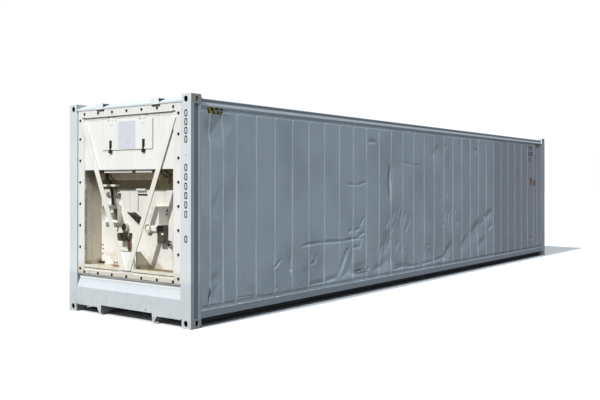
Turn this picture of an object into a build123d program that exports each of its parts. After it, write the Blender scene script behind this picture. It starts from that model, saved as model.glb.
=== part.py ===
from build123d import *
import os

# Forty-foot high-cube refrigerated shipping container with its cooling machinery partly removed.
# Millimetres. X runs along the length with the machinery end at -X, Z is up from the ground,
# and the origin is the middle of the footprint.

# Overall size
LENGTH = 12192
WIDTH = 2438
HEIGHT = 2896

# Corner castings
CASTING_LENGTH = 178
CASTING_WIDTH = 162
CASTING_HEIGHT = 118
CASTING_OUTER_WALL = 16
CASTING_INNER_WALL = 10
CASTING_SLOT_WALL = 24
CASTING_BACK_WALL = 12
LOCK_SLOT_LENGTH = 124
LOCK_SLOT_WIDTH = 63.5
LOCK_SLOT_FROM_END = 103.5
LOCK_SLOT_FROM_SIDE = 89.5
HAND_HOLE_HEIGHT = 79
SIDE_HOLE_WIDTH = 51
END_HOLE_WIDTH = 63.5

# Corner posts
POST_WALL = 6
FRONT_POST_OVERHANG = 19
FRONT_POST_DEPTH = 90
POST_SIDE_FLAT = 56
POST_RECESS_DEPTH = 20
POST_RECESS_BEVEL = 8
POST_REAR_FLAT = 26
JAMB_WIDTH = 139
REAR_POST_WIDTH = 74
DOOR_RECESS = 62
HINGE_NOTCH_WIDTH = 24

# Front header, measured down from the top of the container
HEADER_RIDGE_DROP = 16
HEADER_RIDGE_WIDTH = 28
HEADER_LIP_DROP = 74
HEADER_SETBACK = 6
HEADER_LANDING_DROP = 196
LUG_WIDTH = 150
LUG_SPACING = 1118
LUG_DROP = 18
LUG_PLATE = 6
LUG_NOTCH = 12

# Front sill
SILL_BASE = 103
SILL_FACE_TOP = 350
SILL_SLOPE_RISE = 120
SILL_POCKET_DEPTH = 50
SILL_POCKET_RISE = 58
SILL_LANDING_RISE = 72
SILL_DEPTH = 150

# Gooseneck tunnel
TUNNEL_HALF_WIDTH = 514
TUNNEL_LENGTH = 3500
TUNNEL_PLATE = 6
TUNNEL_LIP_WIDTH = 50
FOOT_BASE = 20
FOOT_TOP_WIDTH = 86
FOOT_BASE_INSET = 10
FOOT_BASE_WIDTH = 24

# Side rails
TOP_RAIL_DROP = 48
TOP_RAIL_SETBACK = 24
TOP_RAIL_UPSTAND = 42
TOP_RAIL_SLOPE = 41
TOP_RAIL_FACE = 10
TOP_RAIL_WIDTH = 90
TOP_RAIL_WALL = 5
RAIL_RAMP_LENGTH = 43
RAIL_RAMP_RISE = 44
BOTTOM_RAIL_TOP = 207
BOTTOM_RAIL_BEND = 118
BOTTOM_RAIL_INSET = 119
BOTTOM_RAIL_BASE = 40
BOTTOM_RAIL_LIP = 40
BOTTOM_RAIL_PLATE = 8

# Insulated walls, roof and floor
WALL_THICKNESS = 62
BAY_RELIEF = 7
BAY_BASE_MARGIN = 55
BAY_TOP_MARGIN = 54
BAY_GROOVE = 25
BAY_CORNER = 22
BAY_BEVEL_DEGREES = 40
BAY_COUNT = 27
FRONT_BAY_WIDTHS = (147, 243, 254)
REAR_BAY_WIDTHS = (118, 222, 233)
ROOF_THICKNESS = 85
ROOF_BAY_RELIEF = 4
ROOF_BAY_MARGIN = 60
SUBFLOOR_BASE = 140
SUBFLOOR_THICKNESS = 65
SUBFLOOR_END_GAP = 4
TBAR_PITCH = 48
TBAR_HEIGHT = 62
TBAR_WEB = 6
TBAR_HEAD = 32
TBAR_HEAD_THICKNESS = 6
TBAR_PLATE = 5
CROSS_MEMBER_FIRST = 337.5
CROSS_MEMBER_PITCH = 450
CROSS_MEMBER_WIDTH = 45
CROSS_MEMBER_PLATE = 6
CROSS_MEMBER_BASE = 44

# Flange round the machinery opening
FLANGE_RECESS = 12
FLANGE_THICKNESS = 6
FLANGE_GAP = 3
FLANGE_BASE_GAP = 10
FLANGE_DROP = 99
FLANGE_SIDE_MARGIN = 184
FLANGE_SIDE_WIDTH = 140
FLANGE_TOP_WIDTH = 105
FLANGE_BASE_WIDTH = 59
SEAT_OVERLAP = 3

# Upper panel, open bay and bulkhead
PANEL_RECESS = 24
PANEL_THICKNESS = 6
PANEL_HEIGHT = 719
PANEL_RIM = 9
SHEET = 6
CHEEK_INSET = 13
BULKHEAD_RECESS = 290
BULKHEAD_THICKNESS = 90
TRAY_FLOOR_RISE = 61
TRAY_LIP = 12

# Access hatch in the upper panel
HATCH_SIDE_MARGIN = 392
HATCH_TOP_MARGIN = 62
HATCH_HEIGHT = 393
HATCH_OVERLAP = 33
HATCH_THICKNESS = 6
HATCH_SKIN = 2
HATCH_RIM = 12
GASKET_THICKNESS = 2.5
GASKET_WIDTH = 18
GASKET_GAP = 0.5
HINGE_INSET = 181
HINGE_PIN_RISE = 13
HINGE_PIN_OUTSET = 1
HINGE_PIN_RADIUS = 2.5
HINGE_KNUCKLE_RADIUS = 5
HINGE_KNUCKLE_LENGTH = 22
HINGE_RUNNING_GAP = 0.1
HINGE_SIDE_GAP = 1
HINGE_STRAP_WIDTH = 60
HINGE_STRAP_DROP = 55
HINGE_LEAF_HEIGHT = 34
LATCH_INSET = 171
LATCH_PIVOT_RISE = 118
LATCH_PIN_RADIUS = 2
LATCH_WIDTH = 26
LATCH_THICKNESS = 8
LATCH_BASE_WIDTH = 52
LATCH_BASE_ABOVE = 12
LATCH_BASE_BELOW = 88
LATCH_BASE_PLATE = 2
LATCH_EAR = 4
LATCH_SIDE_GAP = 1
LATCH_FOOT_WIDTH = 42
LATCH_FOOT_HEIGHT = 36
LATCH_FOOT_GAP = 5
LATCH_CLEARANCE = 5
KEEPER_EAR = 5
KEEPER_HOLE_RADIUS = 3

# V brace and its foot
BRACE_WIDTH = 78
BRACE_THICKNESS = 10
BRACE_SIDE_MARGIN = 88
BRACE_TOP_DROP = 77
BRACE_FOOT_HALF_SPREAD = 88
BRACE_FOOT_RISE = 45
FOOT_PLATE_HALF_WIDTH = 145
FOOT_PLATE_HEIGHT = 299
GUSSET_OFFSET = 183
GUSSET_FLAT = 70
GUSSET_REAR_HEIGHT = 22

# Fittings left in the bay: widths across, heights, depths out from the bulkhead,
# and levels as a share of the clear height
COIL_RAIL_RECESS = 50
COIL_RAIL_HEIGHT = 40
COIL_RAIL_FLANGE = 30
COIL_RAIL_SPANS = ((-450, -136), (-67, 506))
CONTROL_BOX_RIGHT = 499
CONTROL_BOX_WIDTH = 199
CONTROL_BOX_HEIGHT = 248
CONTROL_BOX_DEPTH = 159
CONTROL_BOX_SHARE = 0.445
RELAY_BOX_WIDTH = 119
RELAY_BOX_HEIGHT = 232
RELAY_BOX_DEPTH = 80
RELAY_BOX_GAP = 4
SHELF_SIDE_GAP = 139
SHELF_WIDTH = 267
SHELF_THICKNESS = 29
SHELF_DEPTH = 80
SHELF_SHARE = 0.828
VALVE_BOX_INSET = 2
VALVE_BOX_WIDTH = 123
VALVE_BOX_HEIGHT = 90
VALVE_BOX_DEPTH = 40
VALVE_BOX_GAP = 35
BRACKET_SIDE_GAP = 103
BRACKET_WIDTH = 336
BRACKET_HEIGHT = 238
BRACKET_DEPTH = 71
BRACKET_GAP = 134
JUNCTION_BOX_LEFT = 422
JUNCTION_BOX_WIDTH = 118
JUNCTION_BOX_HEIGHT = 106
JUNCTION_BOX_DEPTH = 90
JUNCTION_BOX_GAP = 20
MOTOR_OFFSETS = (-147, 332)
MOTOR_RADIUS = 60
MOTOR_BORE_RADIUS = 50
MOTOR_LENGTH = 45
MOTOR_SHARE = 0.405
BAFFLE_RIGHT = -6
BAFFLE_WIDTH = 300
BAFFLE_FALL = 66
BAFFLE_END_HEIGHT = 52
BAFFLE_CHIN_WIDTH = 78
BAFFLE_CHIN_DROP = 28
BAFFLE_DEPTH = 30
BAFFLE_SHARE = 0.451

# Rear frame and doors
DOOR_THICKNESS = 80
DOOR_GAP = 7
DOOR_SILL_GAP = 8
DOOR_FRAME_RELIEF = 4
DOOR_FRAME_WIDTH = 45
REAR_SILL_STEP = 64
REAR_HEADER_STEP_DROP = 101
REAR_HEADER_BASE_DROP = 176
GASKET_FACE_SETBACK = 12
DOOR_GASKET_DEPTH = 28
ROD_RADIUS = 15
ROD_RECESS = 34
ROD_INNER_OFFSET = 300
ROD_OUTER_MARGIN = 285
ROD_END_GAP = 12
ROD_RUNNING_GAP = 0.3
CAM_LENGTH = 45
CAM_HEIGHT = 40
CAM_KEEPER_GAP = 1
CAM_KEEPER_WIDTH = 12
CAM_KEEPER_DEPTH = 26
GUIDE_COUNT = 3
GUIDE_END_MARGIN = 400
GUIDE_WIDTH = 90
GUIDE_HEIGHT = 70
HANDLE_HEIGHT = 1150
HANDLE_LENGTH = 420
HANDLE_WIDTH = 28
HANDLE_THICKNESS = 12
DOOR_HINGE_COUNT = 4
DOOR_HINGE_END_MARGIN = 290
DOOR_HINGE_BARREL_RADIUS = 11
DOOR_HINGE_BARREL_LENGTH = 150
DOOR_HINGE_STRAP_LENGTH = 200
DOOR_HINGE_STRAP_WIDTH = 90
DOOR_HINGE_STRAP_PLATE = 10

# Frame planes
FRONT = -LENGTH / 2
REAR = LENGTH / 2
SIDE = WIDTH / 2
FRAME_FRONT = FRONT + CASTING_LENGTH
FRAME_REAR = REAR - CASTING_LENGTH
CASTING_INNER_FACE = SIDE - CASTING_WIDTH
POST_BASE = CASTING_HEIGHT
POST_TOP = HEIGHT - CASTING_HEIGHT
FRONT_POST_FACE = CASTING_INNER_FACE - FRONT_POST_OVERHANG
JAMB_FACE = FRONT_POST_FACE - JAMB_WIDTH
REAR_POST_FACE = SIDE - REAR_POST_WIDTH
DOOR_FACE = REAR - DOOR_RECESS

# Heights and planes of the header, sill and machinery opening
HEADER_RIDGE_TOP = HEIGHT - HEADER_RIDGE_DROP
HEADER_LIP_TOP = HEIGHT - HEADER_LIP_DROP
HEADER_LANDING_BASE = HEIGHT - HEADER_LANDING_DROP
SILL_SLOPE_TOP = SILL_FACE_TOP + SILL_SLOPE_RISE
SILL_POCKET_TOP = SILL_SLOPE_TOP + SILL_POCKET_RISE
SILL_LANDING_TOP = SILL_POCKET_TOP + SILL_LANDING_RISE
TUNNEL_TOP = SUBFLOOR_BASE - TUNNEL_PLATE
FLANGE_FACE = FRONT + FLANGE_RECESS
FLANGE_BACK = FLANGE_FACE + FLANGE_THICKNESS
FLANGE_HALF_WIDTH = SIDE - FLANGE_SIDE_MARGIN
FLANGE_TOP = HEIGHT - FLANGE_DROP
FLANGE_BASE = SILL_POCKET_TOP + FLANGE_BASE_GAP
OPENING_HALF_WIDTH = FLANGE_HALF_WIDTH - FLANGE_SIDE_WIDTH
OPENING_TOP = FLANGE_TOP - FLANGE_TOP_WIDTH
OPENING_BASE = FLANGE_BASE + FLANGE_BASE_WIDTH
SEAT_HALF_WIDTH = OPENING_HALF_WIDTH + SEAT_OVERLAP
PANEL_FACE = FRONT + PANEL_RECESS
PANEL_BACK = PANEL_FACE + PANEL_THICKNESS
PANEL_BASE = OPENING_TOP - PANEL_HEIGHT
BAY_HALF_WIDTH = OPENING_HALF_WIDTH - CHEEK_INSET
BULKHEAD_FACE = FRONT + BULKHEAD_RECESS
BULKHEAD_BACK = BULKHEAD_FACE + BULKHEAD_THICKNESS
TRAY_FLOOR_TOP = OPENING_BASE + TRAY_FLOOR_RISE
TRAY_LIP_TOP = TRAY_FLOOR_TOP + TRAY_LIP
BAY_CLEAR_HEIGHT = PANEL_BASE - TRAY_FLOOR_TOP
LUG_PLACES = (-LUG_SPACING / 2, LUG_SPACING / 2)

# Side wall, roof and floor planes
TOP_RAIL_TOP = HEIGHT - TOP_RAIL_DROP
TOP_RAIL_SLOPE_TOP = TOP_RAIL_TOP - TOP_RAIL_UPSTAND
TOP_RAIL_SLOPE_BASE = TOP_RAIL_SLOPE_TOP - TOP_RAIL_SLOPE
TOP_RAIL_BASE = TOP_RAIL_SLOPE_BASE - TOP_RAIL_FACE
RAIL_INNER_FACE = SIDE - TOP_RAIL_WIDTH
WALL_SKIN = SIDE - BAY_RELIEF
WALL_INNER_FACE = WALL_SKIN - WALL_THICKNESS
BAY_BASE = BOTTOM_RAIL_TOP + BAY_BASE_MARGIN
BAY_TOP = TOP_RAIL_BASE - BAY_TOP_MARGIN
ROOF_BASE = TOP_RAIL_TOP - ROOF_THICKNESS
SUBFLOOR_TOP = SUBFLOOR_BASE + SUBFLOOR_THICKNESS
SUBFLOOR_END = DOOR_FACE - DOOR_THICKNESS - SUBFLOOR_END_GAP

# Hatch, hinge and latch places
HATCH_HALF_WIDTH = OPENING_HALF_WIDTH - HATCH_SIDE_MARGIN
HATCH_TOP = OPENING_TOP - HATCH_TOP_MARGIN
HATCH_BASE = HATCH_TOP - HATCH_HEIGHT
HATCH_BACK = PANEL_FACE - GASKET_GAP - GASKET_THICKNESS
HATCH_FACE = HATCH_BACK - HATCH_THICKNESS
HINGE_OFFSET = HATCH_HALF_WIDTH - HINGE_INSET
HINGE_PIN_X = HATCH_FACE + HINGE_PIN_OUTSET
HINGE_PIN_Z = HATCH_TOP + HINGE_PIN_RISE
LATCH_OFFSET = HATCH_HALF_WIDTH - LATCH_INSET
LATCH_PIVOT_X = HATCH_FACE - LATCH_BASE_PLATE - LATCH_SIDE_GAP - LATCH_THICKNESS / 2
LATCH_PIVOT_Z = HATCH_BASE + LATCH_PIVOT_RISE
LATCH_FOOT_TOP = HATCH_BASE - LATCH_FOOT_GAP
LATCH_FOOT_BASE = LATCH_FOOT_TOP - LATCH_FOOT_HEIGHT

# Door heights and lock rod offsets
REAR_HEADER_STEP = HEIGHT - REAR_HEADER_STEP_DROP
REAR_HEADER_BASE = HEIGHT - REAR_HEADER_BASE_DROP
DOOR_BASE = SUBFLOOR_BASE + DOOR_SILL_GAP
DOOR_TOP = REAR_HEADER_BASE - DOOR_GAP
ROD_X = REAR - ROD_RECESS
ROD_BASE = REAR_SILL_STEP + ROD_END_GAP
ROD_TOP = REAR_HEADER_STEP - ROD_END_GAP
ROD_OFFSETS = (ROD_INNER_OFFSET, REAR_POST_FACE - ROD_OUTER_MARGIN)


def block(x0, x1, y0, y1, z0, z1):
    """A rectangular solid between two corners."""
    centre = ((x0 + x1) / 2, (y0 + y1) / 2, (z0 + z1) / 2)
    return Pos(*centre) * Box(abs(x1 - x0), abs(y1 - y0), abs(z1 - z0))


def prism_x(points, x0, x1):
    """An outline of (y, z) points drawn out along the length."""
    outline = Plane(origin=(x0, 0, 0), x_dir=(0, 1, 0), z_dir=(1, 0, 0)) * make_face(Polyline(*points, close=True))
    return extrude(outline, x1 - x0)


def prism_y(points, y0, y1):
    """An outline of (x, z) points drawn out across the width."""
    outline = Plane(origin=(0, y1, 0), x_dir=(1, 0, 0), z_dir=(0, -1, 0)) * make_face(Polyline(*points, close=True))
    return extrude(outline, y1 - y0)


def tube_x(points, wall, x0, x1):
    """A hollow section of (y, z) points drawn out along the length."""
    plane = Plane(origin=(x0, 0, 0), x_dir=(0, 1, 0), z_dir=(1, 0, 0))
    outline = make_face(Polyline(*points, close=True))
    return extrude(plane * (outline - offset(outline, -wall)), x1 - x0)


def tube_y(points, wall, y0, y1):
    """A hollow section of (x, z) points drawn out across the width."""
    plane = Plane(origin=(0, y1, 0), x_dir=(1, 0, 0), z_dir=(0, -1, 0))
    outline = make_face(Polyline(*points, close=True))
    return extrude(plane * (outline - offset(outline, -wall)), y1 - y0)


def tube_z(points, wall, z0, z1):
    """A hollow section of (x, y) points standing upright."""
    outline = make_face(Polyline(*points, close=True))
    return extrude(Pos(0, 0, z0) * (outline - offset(outline, -wall)), z1 - z0)


def rod_y(radius, x, y0, y1, z):
    """A round bar across the width."""
    plane = Plane(origin=(x, y1, z), x_dir=(1, 0, 0), z_dir=(0, -1, 0))
    return extrude(plane * Circle(radius), y1 - y0)


def mirror_left(shape):
    """The same piece on the +Y side."""
    return mirror(shape, about=Plane.XZ)


def corner_casting(top, rear, left):
    """A hollow corner casting with a twist-lock slot and two hand holes."""
    length, width, height = CASTING_LENGTH, CASTING_WIDTH, CASTING_HEIGHT
    casting = block(0, length, 0, width, 0, height)
    casting = fillet(casting.edges().filter_by(Axis.Z).sort_by_distance((0, 0, height / 2))[0], CASTING_OUTER_WALL / 2)
    casting -= block(
        CASTING_OUTER_WALL, length - CASTING_INNER_WALL,
        CASTING_OUTER_WALL, width - CASTING_INNER_WALL,
        CASTING_SLOT_WALL, height - CASTING_BACK_WALL,
    )
    hole_height = (CASTING_SLOT_WALL + height - CASTING_BACK_WALL) / 2
    slot = Pos(LOCK_SLOT_FROM_END, LOCK_SLOT_FROM_SIDE, 0) * SlotOverall(LOCK_SLOT_LENGTH, LOCK_SLOT_WIDTH)
    casting -= extrude(slot, CASTING_SLOT_WALL)
    side_plane = Plane(origin=(LOCK_SLOT_FROM_END, 0, hole_height), x_dir=(0, 0, 1), z_dir=(0, 1, 0))
    casting -= extrude(side_plane * SlotOverall(HAND_HOLE_HEIGHT, SIDE_HOLE_WIDTH), CASTING_OUTER_WALL)
    end_plane = Plane(origin=(0, LOCK_SLOT_FROM_SIDE, hole_height), x_dir=(0, 0, 1), z_dir=(1, 0, 0))
    casting -= extrude(end_plane * SlotOverall(HAND_HOLE_HEIGHT, END_HOLE_WIDTH), CASTING_OUTER_WALL)
    casting = Pos(FRONT, -SIDE, 0) * casting
    if top:
        casting = mirror(casting, about=Plane.XY.offset(HEIGHT / 2))
    if rear:
        casting = mirror(casting, about=Plane.YZ)
    if left:
        casting = mirror_left(casting)
    return casting


def front_post():
    """Right front post: a pressed side with a long recess, and a jamb behind the machinery flange."""
    recess_start = FRONT + POST_SIDE_FLAT
    recess_end = FRAME_FRONT - POST_REAR_FLAT
    outline = [
        (FRONT, -SIDE),
        (recess_start, -SIDE),
        (recess_start + POST_RECESS_BEVEL, -SIDE + POST_RECESS_DEPTH),
        (recess_end - POST_RECESS_BEVEL, -SIDE + POST_RECESS_DEPTH),
        (recess_end, -SIDE),
        (FRAME_FRONT, -SIDE),
        (FRAME_FRONT, -WALL_INNER_FACE),
        (FRONT + FRONT_POST_DEPTH, -WALL_INNER_FACE),
        (FRONT + FRONT_POST_DEPTH, -FRONT_POST_FACE),
        (FRONT, -FRONT_POST_FACE),
    ]
    post = tube_z(outline, POST_WALL, POST_BASE, POST_TOP)
    jamb_outline = [
        (FLANGE_BACK, -FRONT_POST_FACE),
        (FRONT + FRONT_POST_DEPTH, -FRONT_POST_FACE),
        (FRONT + FRONT_POST_DEPTH, -JAMB_FACE),
        (FLANGE_BACK, -JAMB_FACE),
    ]
    return post + tube_z(jamb_outline, POST_WALL, SILL_LANDING_TOP, POST_TOP)


def rear_post():
    """Right rear post with a notch for the door hinges."""
    notch_start = REAR_POST_FACE + HINGE_NOTCH_WIDTH
    outline = [
        (REAR, -SIDE),
        (REAR, -notch_start),
        (DOOR_FACE, -notch_start),
        (DOOR_FACE, -REAR_POST_FACE),
        (FRAME_REAR, -REAR_POST_FACE),
        (FRAME_REAR, -SIDE),
    ]
    return tube_z(outline, POST_WALL, POST_BASE, POST_TOP)


def front_header():
    """Header between the top castings, sloping back to the roof, with a landing for the machinery flange."""
    flange_clear = FLANGE_TOP + FLANGE_GAP
    face = FRONT + HEADER_SETBACK
    outline = [
        (face, flange_clear),
        (face, HEADER_LIP_TOP),
        (FRAME_FRONT - HEADER_RIDGE_WIDTH, HEADER_RIDGE_TOP),
        (FRAME_FRONT, HEADER_RIDGE_TOP),
        (FRAME_FRONT, POST_TOP),
        (FLANGE_BACK, POST_TOP),
        (FLANGE_BACK, flange_clear),
    ]
    header = tube_y(outline, POST_WALL, -CASTING_INNER_FACE, CASTING_INNER_FACE)
    landing = [
        (FLANGE_BACK, POST_TOP),
        (FRONT + FRONT_POST_DEPTH, POST_TOP),
        (FRONT + FRONT_POST_DEPTH, HEADER_LANDING_BASE),
        (FLANGE_BACK, HEADER_LANDING_BASE),
    ]
    return header + tube_y(landing, POST_WALL, -JAMB_FACE, JAMB_FACE)


def header_lug(y):
    """A folded hood on the header, open at both sides."""
    half = LUG_WIDTH / 2
    top = HEIGHT - LUG_DROP
    back = FRAME_FRONT - HEADER_RIDGE_WIDTH
    slope = (HEADER_RIDGE_TOP - HEADER_LIP_TOP) / (back - FRONT - HEADER_SETBACK)
    meets_slope = back - (HEADER_RIDGE_TOP - top + LUG_PLATE) / slope
    outline = [
        (FRONT, FLANGE_TOP),
        (FRONT, top),
        (back - (HEADER_RIDGE_TOP - top) / slope, top),
        (meets_slope, top - LUG_PLATE),
        (FRONT + LUG_PLATE, top - LUG_PLATE),
        (FRONT + LUG_PLATE, FLANGE_TOP),
    ]
    return prism_y(outline, y - half, y + half)


def front_sill():
    """Sill with a sloped pocket under the machinery and the gooseneck cut-out below."""
    def section(base):
        return [
            (FRONT, base),
            (FRONT, SILL_FACE_TOP),
            (FRONT + SILL_POCKET_DEPTH, SILL_SLOPE_TOP),
            (FRONT + SILL_POCKET_DEPTH, SILL_POCKET_TOP),
            (FLANGE_BACK, SILL_POCKET_TOP),
            (FLANGE_BACK, SILL_LANDING_TOP),
            (FRONT + FRONT_POST_DEPTH, SILL_LANDING_TOP),
            (FRONT + SILL_DEPTH, SILL_LANDING_TOP),
            (FRONT + SILL_DEPTH, base),
        ]
    sill = tube_y(section(TUNNEL_TOP), POST_WALL, -TUNNEL_HALF_WIDTH, TUNNEL_HALF_WIDTH)
    outer = tube_y(section(SILL_BASE), POST_WALL, -FRONT_POST_FACE, -TUNNEL_HALF_WIDTH)
    foot_outline = [
        (-TUNNEL_HALF_WIDTH, SILL_BASE),
        (-TUNNEL_HALF_WIDTH - FOOT_TOP_WIDTH, SILL_BASE),
        (-TUNNEL_HALF_WIDTH - FOOT_BASE_INSET - FOOT_BASE_WIDTH, FOOT_BASE),
        (-TUNNEL_HALF_WIDTH - FOOT_BASE_INSET, FOOT_BASE),
    ]
    outer += prism_x(foot_outline, FRONT, FRONT + SILL_DEPTH)
    return sill + outer + mirror_left(outer)


def rear_header():
    """Header over the doors, stepped back behind their faces."""
    outline = [
        (REAR, REAR_HEADER_STEP),
        (REAR, HEADER_RIDGE_TOP),
        (FRAME_REAR, HEADER_RIDGE_TOP),
        (FRAME_REAR, REAR_HEADER_STEP),
    ]
    header = tube_y(outline, POST_WALL, -CASTING_INNER_FACE, CASTING_INNER_FACE)
    lintel = [
        (DOOR_FACE, REAR_HEADER_BASE),
        (DOOR_FACE, POST_TOP),
        (FRAME_REAR, POST_TOP),
        (FRAME_REAR, REAR_HEADER_BASE),
    ]
    header += tube_y(lintel, POST_WALL, -REAR_POST_FACE, REAR_POST_FACE)
    joint = block(FRAME_REAR, DOOR_FACE, -CASTING_INNER_FACE, CASTING_INNER_FACE, POST_TOP, REAR_HEADER_STEP)
    return header + joint


def rear_sill():
    """Sill between the bottom castings, with a step for the cam keepers."""
    outline = [
        (REAR, FOOT_BASE),
        (REAR, REAR_SILL_STEP),
        (DOOR_FACE, REAR_SILL_STEP),
        (DOOR_FACE, POST_BASE),
        (FRAME_REAR, POST_BASE),
        (FRAME_REAR, FOOT_BASE),
    ]
    return tube_y(outline, POST_WALL, -CASTING_INNER_FACE, CASTING_INNER_FACE)


def rear_threshold():
    """Plate on the sill and the castings that the doors stand over."""
    return block(FRAME_REAR, DOOR_FACE, -REAR_POST_FACE, REAR_POST_FACE, POST_BASE, SUBFLOOR_BASE)


def top_rail():
    """Right top side rail with its sloped drip ledge and the ramps up to the castings."""
    outline = [
        (-SIDE + TOP_RAIL_SETBACK, TOP_RAIL_TOP),
        (-SIDE + TOP_RAIL_SETBACK, TOP_RAIL_SLOPE_TOP),
        (-SIDE, TOP_RAIL_SLOPE_BASE),
        (-SIDE, TOP_RAIL_BASE),
        (-RAIL_INNER_FACE, TOP_RAIL_BASE),
        (-RAIL_INNER_FACE, TOP_RAIL_TOP),
    ]
    rail = tube_x(outline, TOP_RAIL_WALL, FRAME_FRONT, FRAME_REAR)
    ramp_outline = [
        (FRAME_FRONT, TOP_RAIL_TOP),
        (FRAME_FRONT, TOP_RAIL_TOP + RAIL_RAMP_RISE),
        (FRAME_FRONT + RAIL_RAMP_LENGTH, TOP_RAIL_TOP),
    ]
    ramp = prism_y(ramp_outline, -SIDE + TOP_RAIL_SETBACK, -RAIL_INNER_FACE)
    return rail + ramp + mirror(ramp, about=Plane.YZ)


def bottom_rail():
    """Right bottom side rail, one bent plate."""
    plate = BOTTOM_RAIL_PLATE
    web = -SIDE + BOTTOM_RAIL_INSET
    outline = [
        (-WALL_INNER_FACE, BOTTOM_RAIL_TOP),
        (-SIDE, BOTTOM_RAIL_TOP),
        (-SIDE, BOTTOM_RAIL_BEND),
        (web - plate, BOTTOM_RAIL_BEND),
        (web - plate, BOTTOM_RAIL_BASE),
        (web + BOTTOM_RAIL_LIP, BOTTOM_RAIL_BASE),
        (web + BOTTOM_RAIL_LIP, BOTTOM_RAIL_BASE + plate),
        (web, BOTTOM_RAIL_BASE + plate),
        (web, BOTTOM_RAIL_BEND + plate),
        (-SIDE + plate, BOTTOM_RAIL_BEND + plate),
        (-SIDE + plate, BOTTOM_RAIL_TOP - plate),
        (-WALL_INNER_FACE, BOTTOM_RAIL_TOP - plate),
    ]
    return prism_x(outline, FRAME_FRONT, FRAME_REAR)


def bay_edges():
    """Positions of the grooves between the pressed bays, front to rear."""
    field_start = FRAME_FRONT + sum(FRONT_BAY_WIDTHS)
    field_end = FRAME_REAR - sum(REAR_BAY_WIDTHS)
    edges = [FRAME_FRONT]
    for width in FRONT_BAY_WIDTHS:
        edges.append(edges[-1] + width)
    pitch = (field_end - field_start) / BAY_COUNT
    edges += [field_start + pitch * (i + 1) for i in range(BAY_COUNT)]
    for width in reversed(REAR_BAY_WIDTHS):
        edges.append(edges[-1] + width)
    return edges


def side_wall():
    """Right insulated wall with pressed bays standing out of the skin."""
    wall = block(FRAME_FRONT, FRAME_REAR, -WALL_SKIN, -WALL_INNER_FACE, BOTTOM_RAIL_TOP, TOP_RAIL_BASE)
    edges = bay_edges()
    bays = []
    for start, end in zip(edges, edges[1:]):
        width = end - start - BAY_GROOVE
        centre = ((start + end) / 2, -WALL_SKIN, (BAY_BASE + BAY_TOP) / 2)
        plane = Plane(origin=centre, x_dir=(1, 0, 0), z_dir=(0, -1, 0))
        outline = plane * RectangleRounded(width, BAY_TOP - BAY_BASE, BAY_CORNER)
        bays.append(extrude(outline, BAY_RELIEF, taper=BAY_BEVEL_DEGREES))
    return wall + bays


def roof():
    """Insulated roof with shallow pressed bays."""
    slab = block(FRAME_FRONT, FRAME_REAR, -RAIL_INNER_FACE, RAIL_INNER_FACE, ROOF_BASE, TOP_RAIL_TOP)
    edges = bay_edges()
    bays = []
    for start, end in zip(edges, edges[1:]):
        outline = RectangleRounded(end - start - BAY_GROOVE, 2 * (RAIL_INNER_FACE - ROOF_BAY_MARGIN), BAY_CORNER)
        outline = Pos((start + end) / 2, 0, TOP_RAIL_TOP) * outline
        bays.append(extrude(outline, ROOF_BAY_RELIEF, taper=BAY_BEVEL_DEGREES))
    return slab + bays


def subfloor():
    """Insulated floor slab between the bottom rails."""
    return block(FRAME_FRONT, SUBFLOOR_END, -REAR_POST_FACE, REAR_POST_FACE, SUBFLOOR_BASE, SUBFLOOR_TOP)


def tbar_floor():
    """Extruded floor planks with T-shaped runners and air channels between them."""
    plate_top = SUBFLOOR_TOP + TBAR_PLATE
    runner_top = SUBFLOOR_TOP + TBAR_HEIGHT
    head_base = runner_top - TBAR_HEAD_THICKNESS
    count = int(2 * REAR_POST_FACE / TBAR_PITCH)
    first = -(count - 1) / 2 * TBAR_PITCH
    outline = [(REAR_POST_FACE, SUBFLOOR_TOP), (-REAR_POST_FACE, SUBFLOOR_TOP), (-REAR_POST_FACE, plate_top)]
    for i in range(count):
        y = first + i * TBAR_PITCH
        outline += [
            (y - TBAR_WEB / 2, plate_top),
            (y - TBAR_WEB / 2, head_base),
            (y - TBAR_HEAD / 2, head_base),
            (y - TBAR_HEAD / 2, runner_top),
            (y + TBAR_HEAD / 2, runner_top),
            (y + TBAR_HEAD / 2, head_base),
            (y + TBAR_WEB / 2, head_base),
            (y + TBAR_WEB / 2, plate_top),
        ]
    outline.append((REAR_POST_FACE, plate_top))
    return prism_x(outline, BULKHEAD_BACK, SUBFLOOR_END)


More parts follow.
